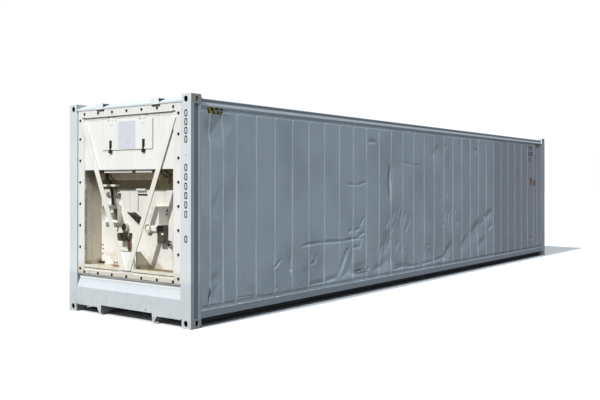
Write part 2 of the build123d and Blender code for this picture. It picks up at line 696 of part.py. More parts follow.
def cross_members():
    """Channels under the floor, cut short beside the gooseneck tunnel."""
    web = SIDE - BOTTOM_RAIL_INSET
    plate = CROSS_MEMBER_PLATE
    tunnel_end = FRAME_FRONT + TUNNEL_LENGTH
    tunnel_outer = TUNNEL_HALF_WIDTH + TUNNEL_PLATE
    tunnel_lip = tunnel_outer + TUNNEL_LIP_WIDTH
    rail_lip = web - BOTTOM_RAIL_LIP
    rail_lip_top = BOTTOM_RAIL_BASE + BOTTOM_RAIL_PLATE
    count = int((FRAME_REAR - FRAME_FRONT - CROSS_MEMBER_PITCH) / CROSS_MEMBER_PITCH)
    channels = []
    for i in range(count):
        x = FRAME_FRONT + CROSS_MEMBER_FIRST + CROSS_MEMBER_PITCH * i
        flange = x + CROSS_MEMBER_WIDTH
        outline = [
            (x, CROSS_MEMBER_BASE),
            (flange, CROSS_MEMBER_BASE),
            (flange, CROSS_MEMBER_BASE + plate),
            (x + plate, CROSS_MEMBER_BASE + plate),
            (x + plate, SUBFLOOR_BASE - plate),
            (flange, SUBFLOOR_BASE - plate),
            (flange, SUBFLOOR_BASE),
            (x, SUBFLOOR_BASE),
        ]
        channel = prism_y(outline, -web, web)
        channel -= block(x, flange, -web, -rail_lip, 0, rail_lip_top)
        channel -= block(x, flange, rail_lip, web, 0, rail_lip_top)
        if x < tunnel_end:
            channel -= block(x, flange, -tunnel_outer, tunnel_outer, 0, SUBFLOOR_BASE)
            channel -= block(x, flange, -tunnel_lip, tunnel_lip, 0, CROSS_MEMBER_BASE + TUNNEL_PLATE)
        channels += channel.solids()
    return Compound(channels)


def gooseneck_tunnel():
    """Inverted channel along the middle of the front third, one bent plate, and its end bolster."""
    plate = TUNNEL_PLATE
    inner = TUNNEL_HALF_WIDTH
    outer = inner + plate
    lip = outer + TUNNEL_LIP_WIDTH
    outline = [
        (-inner, CROSS_MEMBER_BASE),
        (-lip, CROSS_MEMBER_BASE),
        (-lip, CROSS_MEMBER_BASE + plate),
        (-outer, CROSS_MEMBER_BASE + plate),
        (-outer, SUBFLOOR_BASE),
        (outer, SUBFLOOR_BASE),
        (outer, CROSS_MEMBER_BASE + plate),
        (lip, CROSS_MEMBER_BASE + plate),
        (lip, CROSS_MEMBER_BASE),
        (inner, CROSS_MEMBER_BASE),
        (inner, TUNNEL_TOP),
        (-inner, TUNNEL_TOP),
    ]
    return prism_x(outline, FRONT + SILL_DEPTH, FRAME_FRONT + TUNNEL_LENGTH)


def machinery_flange():
    """Flat ring that bolts the machinery frame to the container, notched under the lugs."""
    half = OPENING_HALF_WIDTH
    ring = block(FLANGE_FACE, FLANGE_BACK, -FLANGE_HALF_WIDTH, FLANGE_HALF_WIDTH, FLANGE_BASE, FLANGE_TOP)
    ring -= block(FLANGE_FACE, FLANGE_BACK, -half, half, OPENING_BASE, OPENING_TOP)
    for y in LUG_PLACES:
        ring -= block(
            FLANGE_FACE, FLANGE_BACK, y - LUG_WIDTH / 2, y + LUG_WIDTH / 2, FLANGE_TOP - LUG_NOTCH, FLANGE_TOP,
        )
    return ring


def upper_panel():
    """Closing pan over the evaporator space, with the hatch opening."""
    half = SEAT_HALF_WIDTH
    top = OPENING_TOP + SEAT_OVERLAP
    panel = block(FLANGE_BACK, PANEL_BACK, -half, half, PANEL_BASE, top)
    panel -= block(FLANGE_BACK, PANEL_FACE, PANEL_RIM - half, half - PANEL_RIM, PANEL_BASE, top - PANEL_RIM)
    clear_half = HATCH_HALF_WIDTH - HATCH_OVERLAP
    panel -= block(
        PANEL_FACE, PANEL_BACK, -clear_half, clear_half, HATCH_BASE + HATCH_OVERLAP, HATCH_TOP - HATCH_OVERLAP,
    )
    return panel


def hatch():
    """Shallow pan that closes over the opening."""
    half = HATCH_HALF_WIDTH
    pan = block(HATCH_FACE, HATCH_BACK, -half, half, HATCH_BASE, HATCH_TOP)
    inner = half - HATCH_RIM
    return pan - block(
        HATCH_FACE + HATCH_SKIN, HATCH_BACK, -inner, inner, HATCH_BASE + HATCH_RIM, HATCH_TOP - HATCH_RIM,
    )


def hatch_gasket():
    """Seal glued round the back of the hatch."""
    half = HATCH_HALF_WIDTH
    inner = half - GASKET_WIDTH
    back = HATCH_BACK + GASKET_THICKNESS
    ring = block(HATCH_BACK, back, -half, half, HATCH_BASE, HATCH_TOP)
    return ring - block(HATCH_BACK, back, -inner, inner, HATCH_BASE + GASKET_WIDTH, HATCH_TOP - GASKET_WIDTH)


def hinge_strap(y):
    """Hatch half of a hinge: a strap on the pan with one knuckle round the pin."""
    half_knuckle = HINGE_KNUCKLE_LENGTH / 2
    half_strap = HINGE_STRAP_WIDTH / 2
    front = HINGE_PIN_X - HINGE_KNUCKLE_RADIUS
    strap = block(front, HATCH_FACE, y - half_strap, y + half_strap, HATCH_TOP - HINGE_STRAP_DROP, HATCH_TOP)
    strap += block(front, HATCH_FACE, y - half_knuckle, y + half_knuckle, HATCH_TOP, HINGE_PIN_Z)
    strap += rod_y(HINGE_KNUCKLE_RADIUS, HINGE_PIN_X, y - half_knuckle, y + half_knuckle, HINGE_PIN_Z)
    bore = HINGE_PIN_RADIUS + HINGE_RUNNING_GAP
    return strap - rod_y(bore, HINGE_PIN_X, y - half_knuckle, y + half_knuckle, HINGE_PIN_Z)


def hinge_leaf(y):
    """Fixed half of a hinge: a leaf on the panel, two knuckles and the pin."""
    half = HINGE_STRAP_WIDTH / 2
    gap_half = HINGE_KNUCKLE_LENGTH / 2 + HINGE_SIDE_GAP
    leaf_front = HINGE_PIN_X + HINGE_KNUCKLE_RADIUS
    base = HINGE_PIN_Z - HINGE_KNUCKLE_RADIUS
    leaf = block(leaf_front, PANEL_FACE, y - half, y + half, base, HINGE_PIN_Z + HINGE_LEAF_HEIGHT)
    relief = HINGE_KNUCKLE_RADIUS + HINGE_SIDE_GAP
    leaf -= rod_y(relief, HINGE_PIN_X, y - gap_half, y + gap_half, HINGE_PIN_Z)
    for start, end in ((y - half, y - gap_half), (y + gap_half, y + half)):
        leaf += rod_y(HINGE_KNUCKLE_RADIUS, HINGE_PIN_X, start, end, HINGE_PIN_Z)
        leaf += block(HINGE_PIN_X, leaf_front, start, end, base, HINGE_PIN_Z + HINGE_KNUCKLE_RADIUS)
    return leaf + rod_y(HINGE_PIN_RADIUS, HINGE_PIN_X, y - half, y + half, HINGE_PIN_Z)


def latch_base(y):
    """Bracket on the hatch that carries a latch lever on a cross pin."""
    half = LATCH_BASE_WIDTH / 2
    plate_front = HATCH_FACE - LATCH_BASE_PLATE
    inner = LATCH_WIDTH / 2 + LATCH_SIDE_GAP
    reach = LATCH_THICKNESS / 2
    base = block(
        plate_front, HATCH_FACE, y - half, y + half,
        LATCH_PIVOT_Z - LATCH_BASE_BELOW, LATCH_PIVOT_Z + LATCH_BASE_ABOVE,
    )
    for start, end in ((y - inner - LATCH_EAR, y - inner), (y + inner, y + inner + LATCH_EAR)):
        base += block(LATCH_PIVOT_X, plate_front, start, end, LATCH_PIVOT_Z - reach, LATCH_PIVOT_Z + reach)
        base += rod_y(reach, LATCH_PIVOT_X, start, end, LATCH_PIVOT_Z)
    return base + rod_y(LATCH_PIN_RADIUS, LATCH_PIVOT_X, y - inner, y + inner, LATCH_PIVOT_Z)


def latch_lever(y):
    """Hanging latch lever whose broad foot drops between the keeper ears."""
    half = LATCH_WIDTH / 2
    foot_half = LATCH_FOOT_WIDTH / 2
    reach = LATCH_THICKNESS / 2
    front = LATCH_PIVOT_X - reach
    lever = block(front, LATCH_PIVOT_X + reach, y - half, y + half, LATCH_FOOT_TOP, LATCH_PIVOT_Z)
    lever += rod_y(reach, LATCH_PIVOT_X, y - half, y + half, LATCH_PIVOT_Z)
    lever -= rod_y(LATCH_PIN_RADIUS + HINGE_RUNNING_GAP, LATCH_PIVOT_X, y - half, y + half, LATCH_PIVOT_Z)
    foot_back = PANEL_FACE - LATCH_CLEARANCE
    return lever + block(front, foot_back, y - foot_half, y + foot_half, LATCH_FOOT_BASE, LATCH_FOOT_TOP)


def latch_keeper_ears(y):
    """Two ears on the panel beside a latch foot, with holes for a locking pin."""
    inner = LATCH_FOOT_WIDTH / 2 + LATCH_CLEARANCE
    hole_z = (LATCH_FOOT_BASE + LATCH_FOOT_TOP) / 2
    front = LATCH_PIVOT_X - LATCH_THICKNESS / 2
    ears = []
    for start, end in ((y - inner - KEEPER_EAR, y - inner), (y + inner, y + inner + KEEPER_EAR)):
        ear = block(front, PANEL_FACE, start, end, LATCH_FOOT_BASE, LATCH_FOOT_TOP)
        ears.append(ear - rod_y(KEEPER_HOLE_RADIUS, (front + PANEL_FACE) / 2, start, end, hole_z))
    return ears


def bay_cheek():
    """Right side sheet of the open machinery bay, with a folded front edge."""
    fold_back = FLANGE_BACK + SHEET
    sheet = block(fold_back, BULKHEAD_FACE, -BAY_HALF_WIDTH - SHEET, -BAY_HALF_WIDTH, TRAY_FLOOR_TOP, PANEL_BASE)
    return sheet + block(FLANGE_BACK, fold_back, -SEAT_HALF_WIDTH, -BAY_HALF_WIDTH, TRAY_LIP_TOP, PANEL_BASE)


def bay_ceiling():
    """Sheet between the open bay and the evaporator space."""
    return block(PANEL_BACK, BULKHEAD_FACE, -SEAT_HALF_WIDTH, SEAT_HALF_WIDTH, PANEL_BASE, PANEL_BASE + SHEET)


def drip_tray():
    """Floor of the open machinery bay with its front lip."""
    half = SEAT_HALF_WIDTH
    floor = block(FLANGE_BACK, BULKHEAD_FACE, -half, half, TRAY_FLOOR_TOP - SHEET, TRAY_FLOOR_TOP)
    return floor + block(FLANGE_BACK, FLANGE_BACK + SHEET, -half, half, SILL_LANDING_TOP, TRAY_LIP_TOP)


def bulkhead():
    """Insulated wall between the machinery bay and the cargo space."""
    wall = block(BULKHEAD_FACE, BULKHEAD_BACK, -WALL_INNER_FACE, WALL_INNER_FACE, SUBFLOOR_TOP, TOP_RAIL_BASE)
    return wall + block(BULKHEAD_FACE, BULKHEAD_BACK, -RAIL_INNER_FACE, RAIL_INNER_FACE, TOP_RAIL_BASE, ROOF_BASE)


def brace_arm():
    """Right arm of the V brace: a flat bar from the top corner of the flange to the foot."""
    spread = FLANGE_HALF_WIDTH - BRACE_SIDE_MARGIN
    top = OPENING_TOP - BRACE_TOP_DROP
    base = OPENING_BASE + BRACE_FOOT_RISE
    slope = (spread - BRACE_FOOT_HALF_SPREAD) / (top - base)
    across = BRACE_WIDTH * (1 + slope * slope) ** 0.5
    outline = [
        (-spread, top),
        (-BRACE_FOOT_HALF_SPREAD, base),
        (-BRACE_FOOT_HALF_SPREAD + across, base),
        (-spread + across, top),
    ]
    return prism_x(outline, FLANGE_FACE - BRACE_THICKNESS, FLANGE_FACE)


def brace_foot():
    """Plate behind the meeting point of the brace arms."""
    half = FOOT_PLATE_HALF_WIDTH
    return block(FLANGE_FACE, FLANGE_BACK, -half, half, OPENING_BASE, OPENING_BASE + FOOT_PLATE_HEIGHT)


def brace_gusset():
    """Upright gusset beside the foot, tapering down to the bulkhead."""
    front = FLANGE_BACK + SHEET
    top = OPENING_BASE + FOOT_PLATE_HEIGHT
    outline = [
        (front, TRAY_FLOOR_TOP),
        (BULKHEAD_FACE, TRAY_FLOOR_TOP),
        (BULKHEAD_FACE, TRAY_FLOOR_TOP + GUSSET_REAR_HEIGHT),
        (front + GUSSET_FLAT, top),
        (front, top),
    ]
    return prism_y(outline, -GUSSET_OFFSET, SHEET - GUSSET_OFFSET)


def bay_level(share):
    """Height at a share of the open bay's clear height."""
    return TRAY_FLOOR_TOP + share * BAY_CLEAR_HEIGHT


def wall_box(y0, y1, base, height, depth):
    """A box fixed to the front of the bulkhead."""
    return block(BULKHEAD_FACE - depth, BULKHEAD_FACE, y0, y1, base, base + height)


def coil_rail(y0, y1):
    """Angle hanging from the bay ceiling behind the upper panel."""
    front = FRONT + COIL_RAIL_RECESS
    outline = [
        (front, PANEL_BASE),
        (front, PANEL_BASE - COIL_RAIL_HEIGHT),
        (front + SHEET, PANEL_BASE - COIL_RAIL_HEIGHT),
        (front + SHEET, PANEL_BASE - SHEET),
        (front + COIL_RAIL_FLANGE, PANEL_BASE - SHEET),
        (front + COIL_RAIL_FLANGE, PANEL_BASE),
    ]
    return prism_y(outline, y0, y1)


def valve_box_base():
    """Height of the valve box, a gap below the shelf."""
    return bay_level(SHELF_SHARE) - VALVE_BOX_GAP - VALVE_BOX_HEIGHT


def bay_boxes():
    """Closed electrical boxes left on the bulkhead."""
    control_base = bay_level(CONTROL_BOX_SHARE)
    control_left = CONTROL_BOX_WIDTH - CONTROL_BOX_RIGHT
    control = wall_box(-CONTROL_BOX_RIGHT, control_left, control_base, CONTROL_BOX_HEIGHT, CONTROL_BOX_DEPTH)
    relay_base = control_base - RELAY_BOX_GAP - RELAY_BOX_HEIGHT
    relay_left = RELAY_BOX_WIDTH - CONTROL_BOX_RIGHT
    relay = wall_box(-CONTROL_BOX_RIGHT, relay_left, relay_base, RELAY_BOX_HEIGHT, RELAY_BOX_DEPTH)
    junction_base = bay_level(MOTOR_SHARE) - MOTOR_RADIUS - JUNCTION_BOX_GAP - JUNCTION_BOX_HEIGHT
    junction = wall_box(
        JUNCTION_BOX_LEFT - JUNCTION_BOX_WIDTH, JUNCTION_BOX_LEFT,
        junction_base, JUNCTION_BOX_HEIGHT, JUNCTION_BOX_DEPTH,
    )
    valve_left = BAY_HALF_WIDTH - SHELF_SIDE_GAP + VALVE_BOX_INSET
    valve = wall_box(valve_left - VALVE_BOX_WIDTH, valve_left, valve_box_base(), VALVE_BOX_HEIGHT, VALVE_BOX_DEPTH)
    return Compound([control, relay, junction, valve])


def bay_brackets():
    """The thick shelf and the open-fronted bracket on the left of the bulkhead."""
    shelf_left = BAY_HALF_WIDTH - SHELF_SIDE_GAP
    shelf = wall_box(shelf_left - SHELF_WIDTH, shelf_left, bay_level(SHELF_SHARE), SHELF_THICKNESS, SHELF_DEPTH)
    left = BAY_HALF_WIDTH - BRACKET_SIDE_GAP
    right = left - BRACKET_WIDTH
    base = valve_box_base() - BRACKET_GAP - BRACKET_HEIGHT
    bracket = wall_box(right, left, base, BRACKET_HEIGHT, BRACKET_DEPTH)
    bracket -= block(
        BULKHEAD_FACE - BRACKET_DEPTH, BULKHEAD_FACE - SHEET,
        right + SHEET, left - SHEET, base + SHEET, base + BRACKET_HEIGHT - SHEET,
    )
    return Compound([shelf, bracket])


def motor_stub(y):
    """A short round motor housing, open in the middle, standing out from the bulkhead."""
    plane = Plane(origin=(BULKHEAD_FACE - MOTOR_LENGTH, y, bay_level(MOTOR_SHARE)), x_dir=(0, 1, 0), z_dir=(1, 0, 0))
    return extrude(plane * (Circle(MOTOR_RADIUS) - Circle(MOTOR_BORE_RADIUS)), MOTOR_LENGTH)


def baffle_plate():
    """Slanted black plate in the middle of the bulkhead."""
    base = bay_level(BAFFLE_SHARE)
    end_base = base + BAFFLE_CHIN_DROP
    end_top = end_base + BAFFLE_END_HEIGHT
    outline = [
        (BAFFLE_RIGHT + BAFFLE_CHIN_WIDTH, base),
        (BAFFLE_RIGHT, end_base),
        (BAFFLE_RIGHT, end_top),
        (BAFFLE_RIGHT + BAFFLE_WIDTH, end_top + BAFFLE_FALL),
    ]
    return prism_x(outline, BULKHEAD_FACE - BAFFLE_DEPTH, BULKHEAD_FACE)


def door_leaf():
    """Right rear door leaf, flat outside with a raised edge frame."""
    outer = REAR_POST_FACE - DOOR_GAP
    edge = DOOR_FRAME_WIDTH
    leaf = block(DOOR_FACE - DOOR_THICKNESS, DOOR_FACE, -outer, -DOOR_GAP / 2, DOOR_BASE, DOOR_TOP)
    return leaf - block(
        DOOR_FACE - DOOR_FRAME_RELIEF, DOOR_FACE,
        edge - outer, -DOOR_GAP / 2 - edge, DOOR_BASE + edge, DOOR_TOP - edge,
    )


def door_gaskets():
    """Rubber seal round and between the two leaves."""
    front = DOOR_FACE - GASKET_FACE_SETBACK
    back = front - DOOR_GASKET_DEPTH
    half = REAR_POST_FACE
    outer = half - DOOR_GAP
    seal = block(back, front, -half, half, SUBFLOOR_BASE, REAR_HEADER_BASE)
    seal -= block(back, front, -outer, -DOOR_GAP / 2, DOOR_BASE, DOOR_TOP)
    return seal - block(back, front, DOOR_GAP / 2, outer, DOOR_BASE, DOOR_TOP)


def lock_rod(y, handle_side):
    """Full-height lock rod with cams and a lever handle."""
    rod = Pos(ROD_X, y, ROD_BASE) * Cylinder(
        ROD_RADIUS, ROD_TOP - ROD_BASE, align=(Align.CENTER, Align.CENTER, Align.MIN),
    )
    for z in (ROD_BASE, ROD_TOP - CAM_HEIGHT):
        rod += block(ROD_X - ROD_RADIUS, ROD_X + ROD_RADIUS, y, y + handle_side * CAM_LENGTH, z, z + CAM_HEIGHT)
    return rod + block(
        ROD_X - HANDLE_THICKNESS / 2, ROD_X + HANDLE_THICKNESS / 2, y, y + handle_side * HANDLE_LENGTH,
        HANDLE_HEIGHT - HANDLE_WIDTH / 2, HANDLE_HEIGHT + HANDLE_WIDTH / 2,
    )


def spread_heights(count, end_margin):
    """Evenly spaced heights between margins from the door's ends."""
    low = DOOR_BASE + end_margin
    pitch = (DOOR_TOP - end_margin - low) / (count - 1)
    return [low + pitch * i for i in range(count)]


def rod_guides():
    """Brackets that hold the lock rods to the doors, and the cam keepers."""
    half_width = GUIDE_WIDTH / 2
    half_height = GUIDE_HEIGHT / 2
    keeper_reach = CAM_LENGTH + CAM_KEEPER_GAP + CAM_KEEPER_WIDTH / 2
    half_keeper = CAM_KEEPER_WIDTH / 2
    pieces = []
    for offset_y in ROD_OFFSETS:
        for y in (-offset_y, offset_y):
            for z in spread_heights(GUIDE_COUNT, GUIDE_END_MARGIN):
                bracket = block(
                    DOOR_FACE - DOOR_FRAME_RELIEF, ROD_X, y - half_width, y + half_width, z - half_height, z + half_height,
                )
                pieces.append(bracket - Pos(ROD_X, y, z) * Cylinder(ROD_RADIUS + ROD_RUNNING_GAP, GUIDE_HEIGHT))
            for z in (ROD_BASE, ROD_TOP - CAM_HEIGHT):
                for keeper_y in (y - keeper_reach, y + keeper_reach):
                    pieces.append(block(
                        DOOR_FACE, DOOR_FACE + CAM_KEEPER_DEPTH,
                        keeper_y - half_keeper, keeper_y + half_keeper, z, z + CAM_HEIGHT,
                    ))
    return Compound(pieces)


def door_hinges():
    """Door hinges: barrels in the post notch with straps on the leaves."""
    centre_y = REAR_POST_FACE + HINGE_NOTCH_WIDTH / 2
    strap_end = DOOR_HINGE_STRAP_LENGTH - centre_y
    half_strap = DOOR_HINGE_STRAP_WIDTH / 2
    pieces = []
    for z in spread_heights(DOOR_HINGE_COUNT, DOOR_HINGE_END_MARGIN):
        barrel = Pos(DOOR_FACE + DOOR_HINGE_BARREL_RADIUS, -centre_y, z) * Cylinder(
            DOOR_HINGE_BARREL_RADIUS, DOOR_HINGE_BARREL_LENGTH,
        )
        strap = block(
            DOOR_FACE, DOOR_FACE + DOOR_HINGE_STRAP_PLATE, -centre_y, strap_end, z - half_strap, z + half_strap,
        )
        pieces += [barrel + strap, mirror_left(barrel + strap)]
    return Compound(pieces)


def pair(shape):
    """A right-hand piece and its mirror image, as one node."""
    return Compound([shape, mirror_left(shape)])


def build():
    """Every piece by node name."""
    nodes = {}
    for level in ("bottom", "top"):
        for end in ("front", "rear"):
            for hand in ("right", "left"):
                name = f"corner_casting_{level}_{end}_{hand}"
                nodes[name] = corner_casting(level == "top", end == "rear", hand == "left")
    mirrored = {
        "front_post": front_post(),
        "side_wall": side_wall(),
        "door_leaf": door_leaf(),
    }
    for name, shape in mirrored.items():
        nodes[f"{name}_right"] = shape
        nodes[f"{name}_left"] = mirror_left(shape)
    hinge_places = (-HINGE_OFFSET, HINGE_OFFSET)
    latch_places = (-LATCH_OFFSET, LATCH_OFFSET)
    inner_rod, outer_rod = ROD_OFFSETS
    nodes.update({
        "front_header": front_header(),
        "header_lugs": Compound([header_lug(y) for y in LUG_PLACES]),
        "front_sill": front_sill(),
        "rear_posts": pair(rear_post()),
        "rear_header": rear_header(),
        "rear_sill": rear_sill(),
        "rear_threshold": rear_threshold(),
        "top_rails": pair(top_rail()),
        "bottom_rails": pair(bottom_rail()),
        "roof": roof(),
        "subfloor": subfloor(),
        "tbar_floor": tbar_floor(),
        "cross_members": cross_members(),
        "gooseneck_tunnel": gooseneck_tunnel(),
        "machinery_flange": machinery_flange(),
        "upper_panel": upper_panel(),
        "hatch": hatch(),
        "hatch_gasket": hatch_gasket(),
        "hatch_straps": Compound([hinge_strap(y) for y in hinge_places]),
        "hinge_leaves": Compound([hinge_leaf(y) for y in hinge_places]),
        "latch_bases": Compound([latch_base(y) for y in latch_places]),
        "latch_lever_right": latch_lever(-LATCH_OFFSET),
        "latch_lever_left": latch_lever(LATCH_OFFSET),
        "latch_keepers": Compound([ear for y in latch_places for ear in latch_keeper_ears(y)]),
        "bay_cheeks": pair(bay_cheek()),
        "bay_ceiling": bay_ceiling(),
        "drip_tray": drip_tray(),
        "bulkhead": bulkhead(),
        "brace_arms": pair(brace_arm()),
        "brace_foot": brace_foot(),
        "brace_gusset": brace_gusset(),
        "coil_rails": Compound([coil_rail(y0, y1) for y0, y1 in COIL_RAIL_SPANS]),
        "bay_boxes": bay_boxes(),
        "bay_brackets": bay_brackets(),
        "motor_stubs": Compound([motor_stub(y) for y in MOTOR_OFFSETS]),
        "baffle_plate": baffle_plate(),
        "door_gaskets": door_gaskets(),
        "lock_rods": Compound([
            lock_rod(-inner_rod, -1), lock_rod(-outer_rod, 1), lock_rod(inner_rod, 1), lock_rod(outer_rod, -1),
        ]),
        "rod_guides": rod_guides(),
        "door_hinges": door_hinges(),
    })
    return nodes


os.makedirs("parts", exist_ok=True)
for node_name, node_shape in build().items():
    export_step(node_shape, f"parts/{node_name}.step")
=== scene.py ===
import math
import random

import bmesh
import bpy
import numpy as np
from mathutils import Matrix, Vector


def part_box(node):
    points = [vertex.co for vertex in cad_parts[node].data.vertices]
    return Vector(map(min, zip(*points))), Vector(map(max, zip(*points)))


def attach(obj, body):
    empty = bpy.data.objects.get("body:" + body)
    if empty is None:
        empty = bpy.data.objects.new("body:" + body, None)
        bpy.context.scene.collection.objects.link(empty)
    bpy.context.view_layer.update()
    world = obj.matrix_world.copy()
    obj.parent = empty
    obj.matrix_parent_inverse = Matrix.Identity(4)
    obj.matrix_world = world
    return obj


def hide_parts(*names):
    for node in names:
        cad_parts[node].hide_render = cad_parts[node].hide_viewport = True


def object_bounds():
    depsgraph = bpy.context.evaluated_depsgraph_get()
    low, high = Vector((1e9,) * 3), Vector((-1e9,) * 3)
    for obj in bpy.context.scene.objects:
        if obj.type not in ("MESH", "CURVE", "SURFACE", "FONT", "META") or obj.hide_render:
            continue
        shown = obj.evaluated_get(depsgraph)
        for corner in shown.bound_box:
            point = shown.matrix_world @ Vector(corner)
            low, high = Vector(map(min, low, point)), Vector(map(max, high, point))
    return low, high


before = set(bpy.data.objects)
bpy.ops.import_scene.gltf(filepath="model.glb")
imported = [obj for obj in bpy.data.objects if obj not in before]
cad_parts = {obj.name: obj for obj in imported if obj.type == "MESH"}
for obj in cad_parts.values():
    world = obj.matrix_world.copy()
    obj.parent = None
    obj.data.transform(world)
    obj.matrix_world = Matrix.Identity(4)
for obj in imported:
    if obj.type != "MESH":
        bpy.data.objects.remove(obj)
cad_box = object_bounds()

# Places taken from the CAD frame, in metres
FRONT, REAR = cad_box[0].x, cad_box[1].x
SIDE, HEIGHT = cad_box[1].y, cad_box[1].z
WALL_LOW, WALL_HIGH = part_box("side_wall_right")
RING_LOW, RING_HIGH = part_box("machinery_flange")
RING_FACE = RING_LOW.x
PANEL_SHEET = 0.006
PANEL_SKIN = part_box("upper_panel")[1].x - PANEL_SHEET
HATCH_LOW, HATCH_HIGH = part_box("hatch")
BULKHEAD_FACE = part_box("bulkhead")[0].x
TRAY_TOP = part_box("brace_gusset")[0].z
BAY_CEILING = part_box("bay_ceiling")[0].z
MOTOR_LOW, MOTOR_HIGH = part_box("motor_stubs")
LUG_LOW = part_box("header_lugs")[0]
CASTING_LOW, CASTING_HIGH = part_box("corner_casting_top_front_right")
CASTING_LENGTH = CASTING_HIGH.x - CASTING_LOW.x
CASTING_WIDTH = CASTING_HIGH.y - CASTING_LOW.y


# Mesh helpers

def new_object(name, data):
    made = bpy.data.objects.new(name, data)
    bpy.context.scene.collection.objects.link(made)
    return made


def new_piece(mesh, paints, slot, body="body", smooth=False):
    """Adds a mesh, under its own name, as a piece that rides on a body."""
    piece = new_object(mesh.name, mesh)
    for paint in paints:
        mesh.materials.append(PAINTS[paint])
    if smooth:
        mesh.shade_smooth()
    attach(piece, body)
    return piece


def mesh_from(bm, name):
    mesh = bpy.data.meshes.new(name)
    bm.normal_update()
    bm.to_mesh(mesh)
    bm.free()
    return mesh


def mark_faces(verts, material):
    """Gives the faces round some vertices a place in their mesh's list of paints."""
    for face in {f for v in verts for f in v.link_faces}:
        face.material_index = material


def add_box(bm, low, high, bevel=0.0, material=0):
    """A box, with softened edges if asked."""
    low, high = Vector(low), Vector(high)
    made = bmesh.ops.create_cube(bm, size=1.0)["verts"]
    bmesh.ops.scale(bm, vec=high - low, verts=made)
    bmesh.ops.translate(bm, vec=(low + high) / 2, verts=made)
    mark_faces(made, material)
    if bevel > 0:
        edges = list({e for v in made for e in v.link_edges})
        cut = bmesh.ops.bevel(bm, geom=edges, offset=bevel, segments=2, affect="EDGES", profile=0.5)
        for face in cut["faces"]:
            face.material_index = material


def add_rod(bm, start, end, radius, sides=16, material=0):
    """A round bar between two points."""
    start, end = Vector(start), Vector(end)
    along = end - start
    place = Matrix.Translation((start + end) / 2) @ along.to_track_quat("Z", "Y").to_matrix().to_4x4()
    made = bmesh.ops.create_cone(
        bm, cap_ends=True, segments=sides, radius1=radius, radius2=radius, depth=along.length, matrix=place,
    )["verts"]
    mark_faces(made, material)
    return made


def add_plate(bm, outline, start, end, material=0):
    """A flat outline of points (y, z) drawn out along X."""
    front, back = ([bm.verts.new((x, y, z)) for y, z in outline] for x in (start, end))
    faces = [bm.faces.new(front), bm.faces.new(back[::-1])]
    for i in range(len(outline)):
        faces.append(bm.faces.new((front[i - 1], back[i - 1], back[i], front[i])))
    mark_faces(front, material)
    mark_faces(back, material)
    bmesh.ops.recalc_face_normals(bm, faces=faces)


# Paint helpers

PAINTS = {}


def linear(colour):
    """A colour written in 0 to 255 steps as Blender's values; a node's output stays as it is."""
    if isinstance(colour, bpy.types.NodeSocket):
        return colour
    steps = [value / 255 for value in colour]
    return (*(s / 12.92 if s <= 0.04045 else ((s + 0.055) / 1.055) ** 2.4 for s in steps), 1.0)


def set_inputs(tree, node, inputs):
    """Gives each input a value, or links it to the output that feeds it."""
    for key, value in inputs.items():
        if isinstance(value, bpy.types.NodeSocket):
            tree.links.new(value, node.inputs[key])
        else:
            node.inputs[key].default_value = value


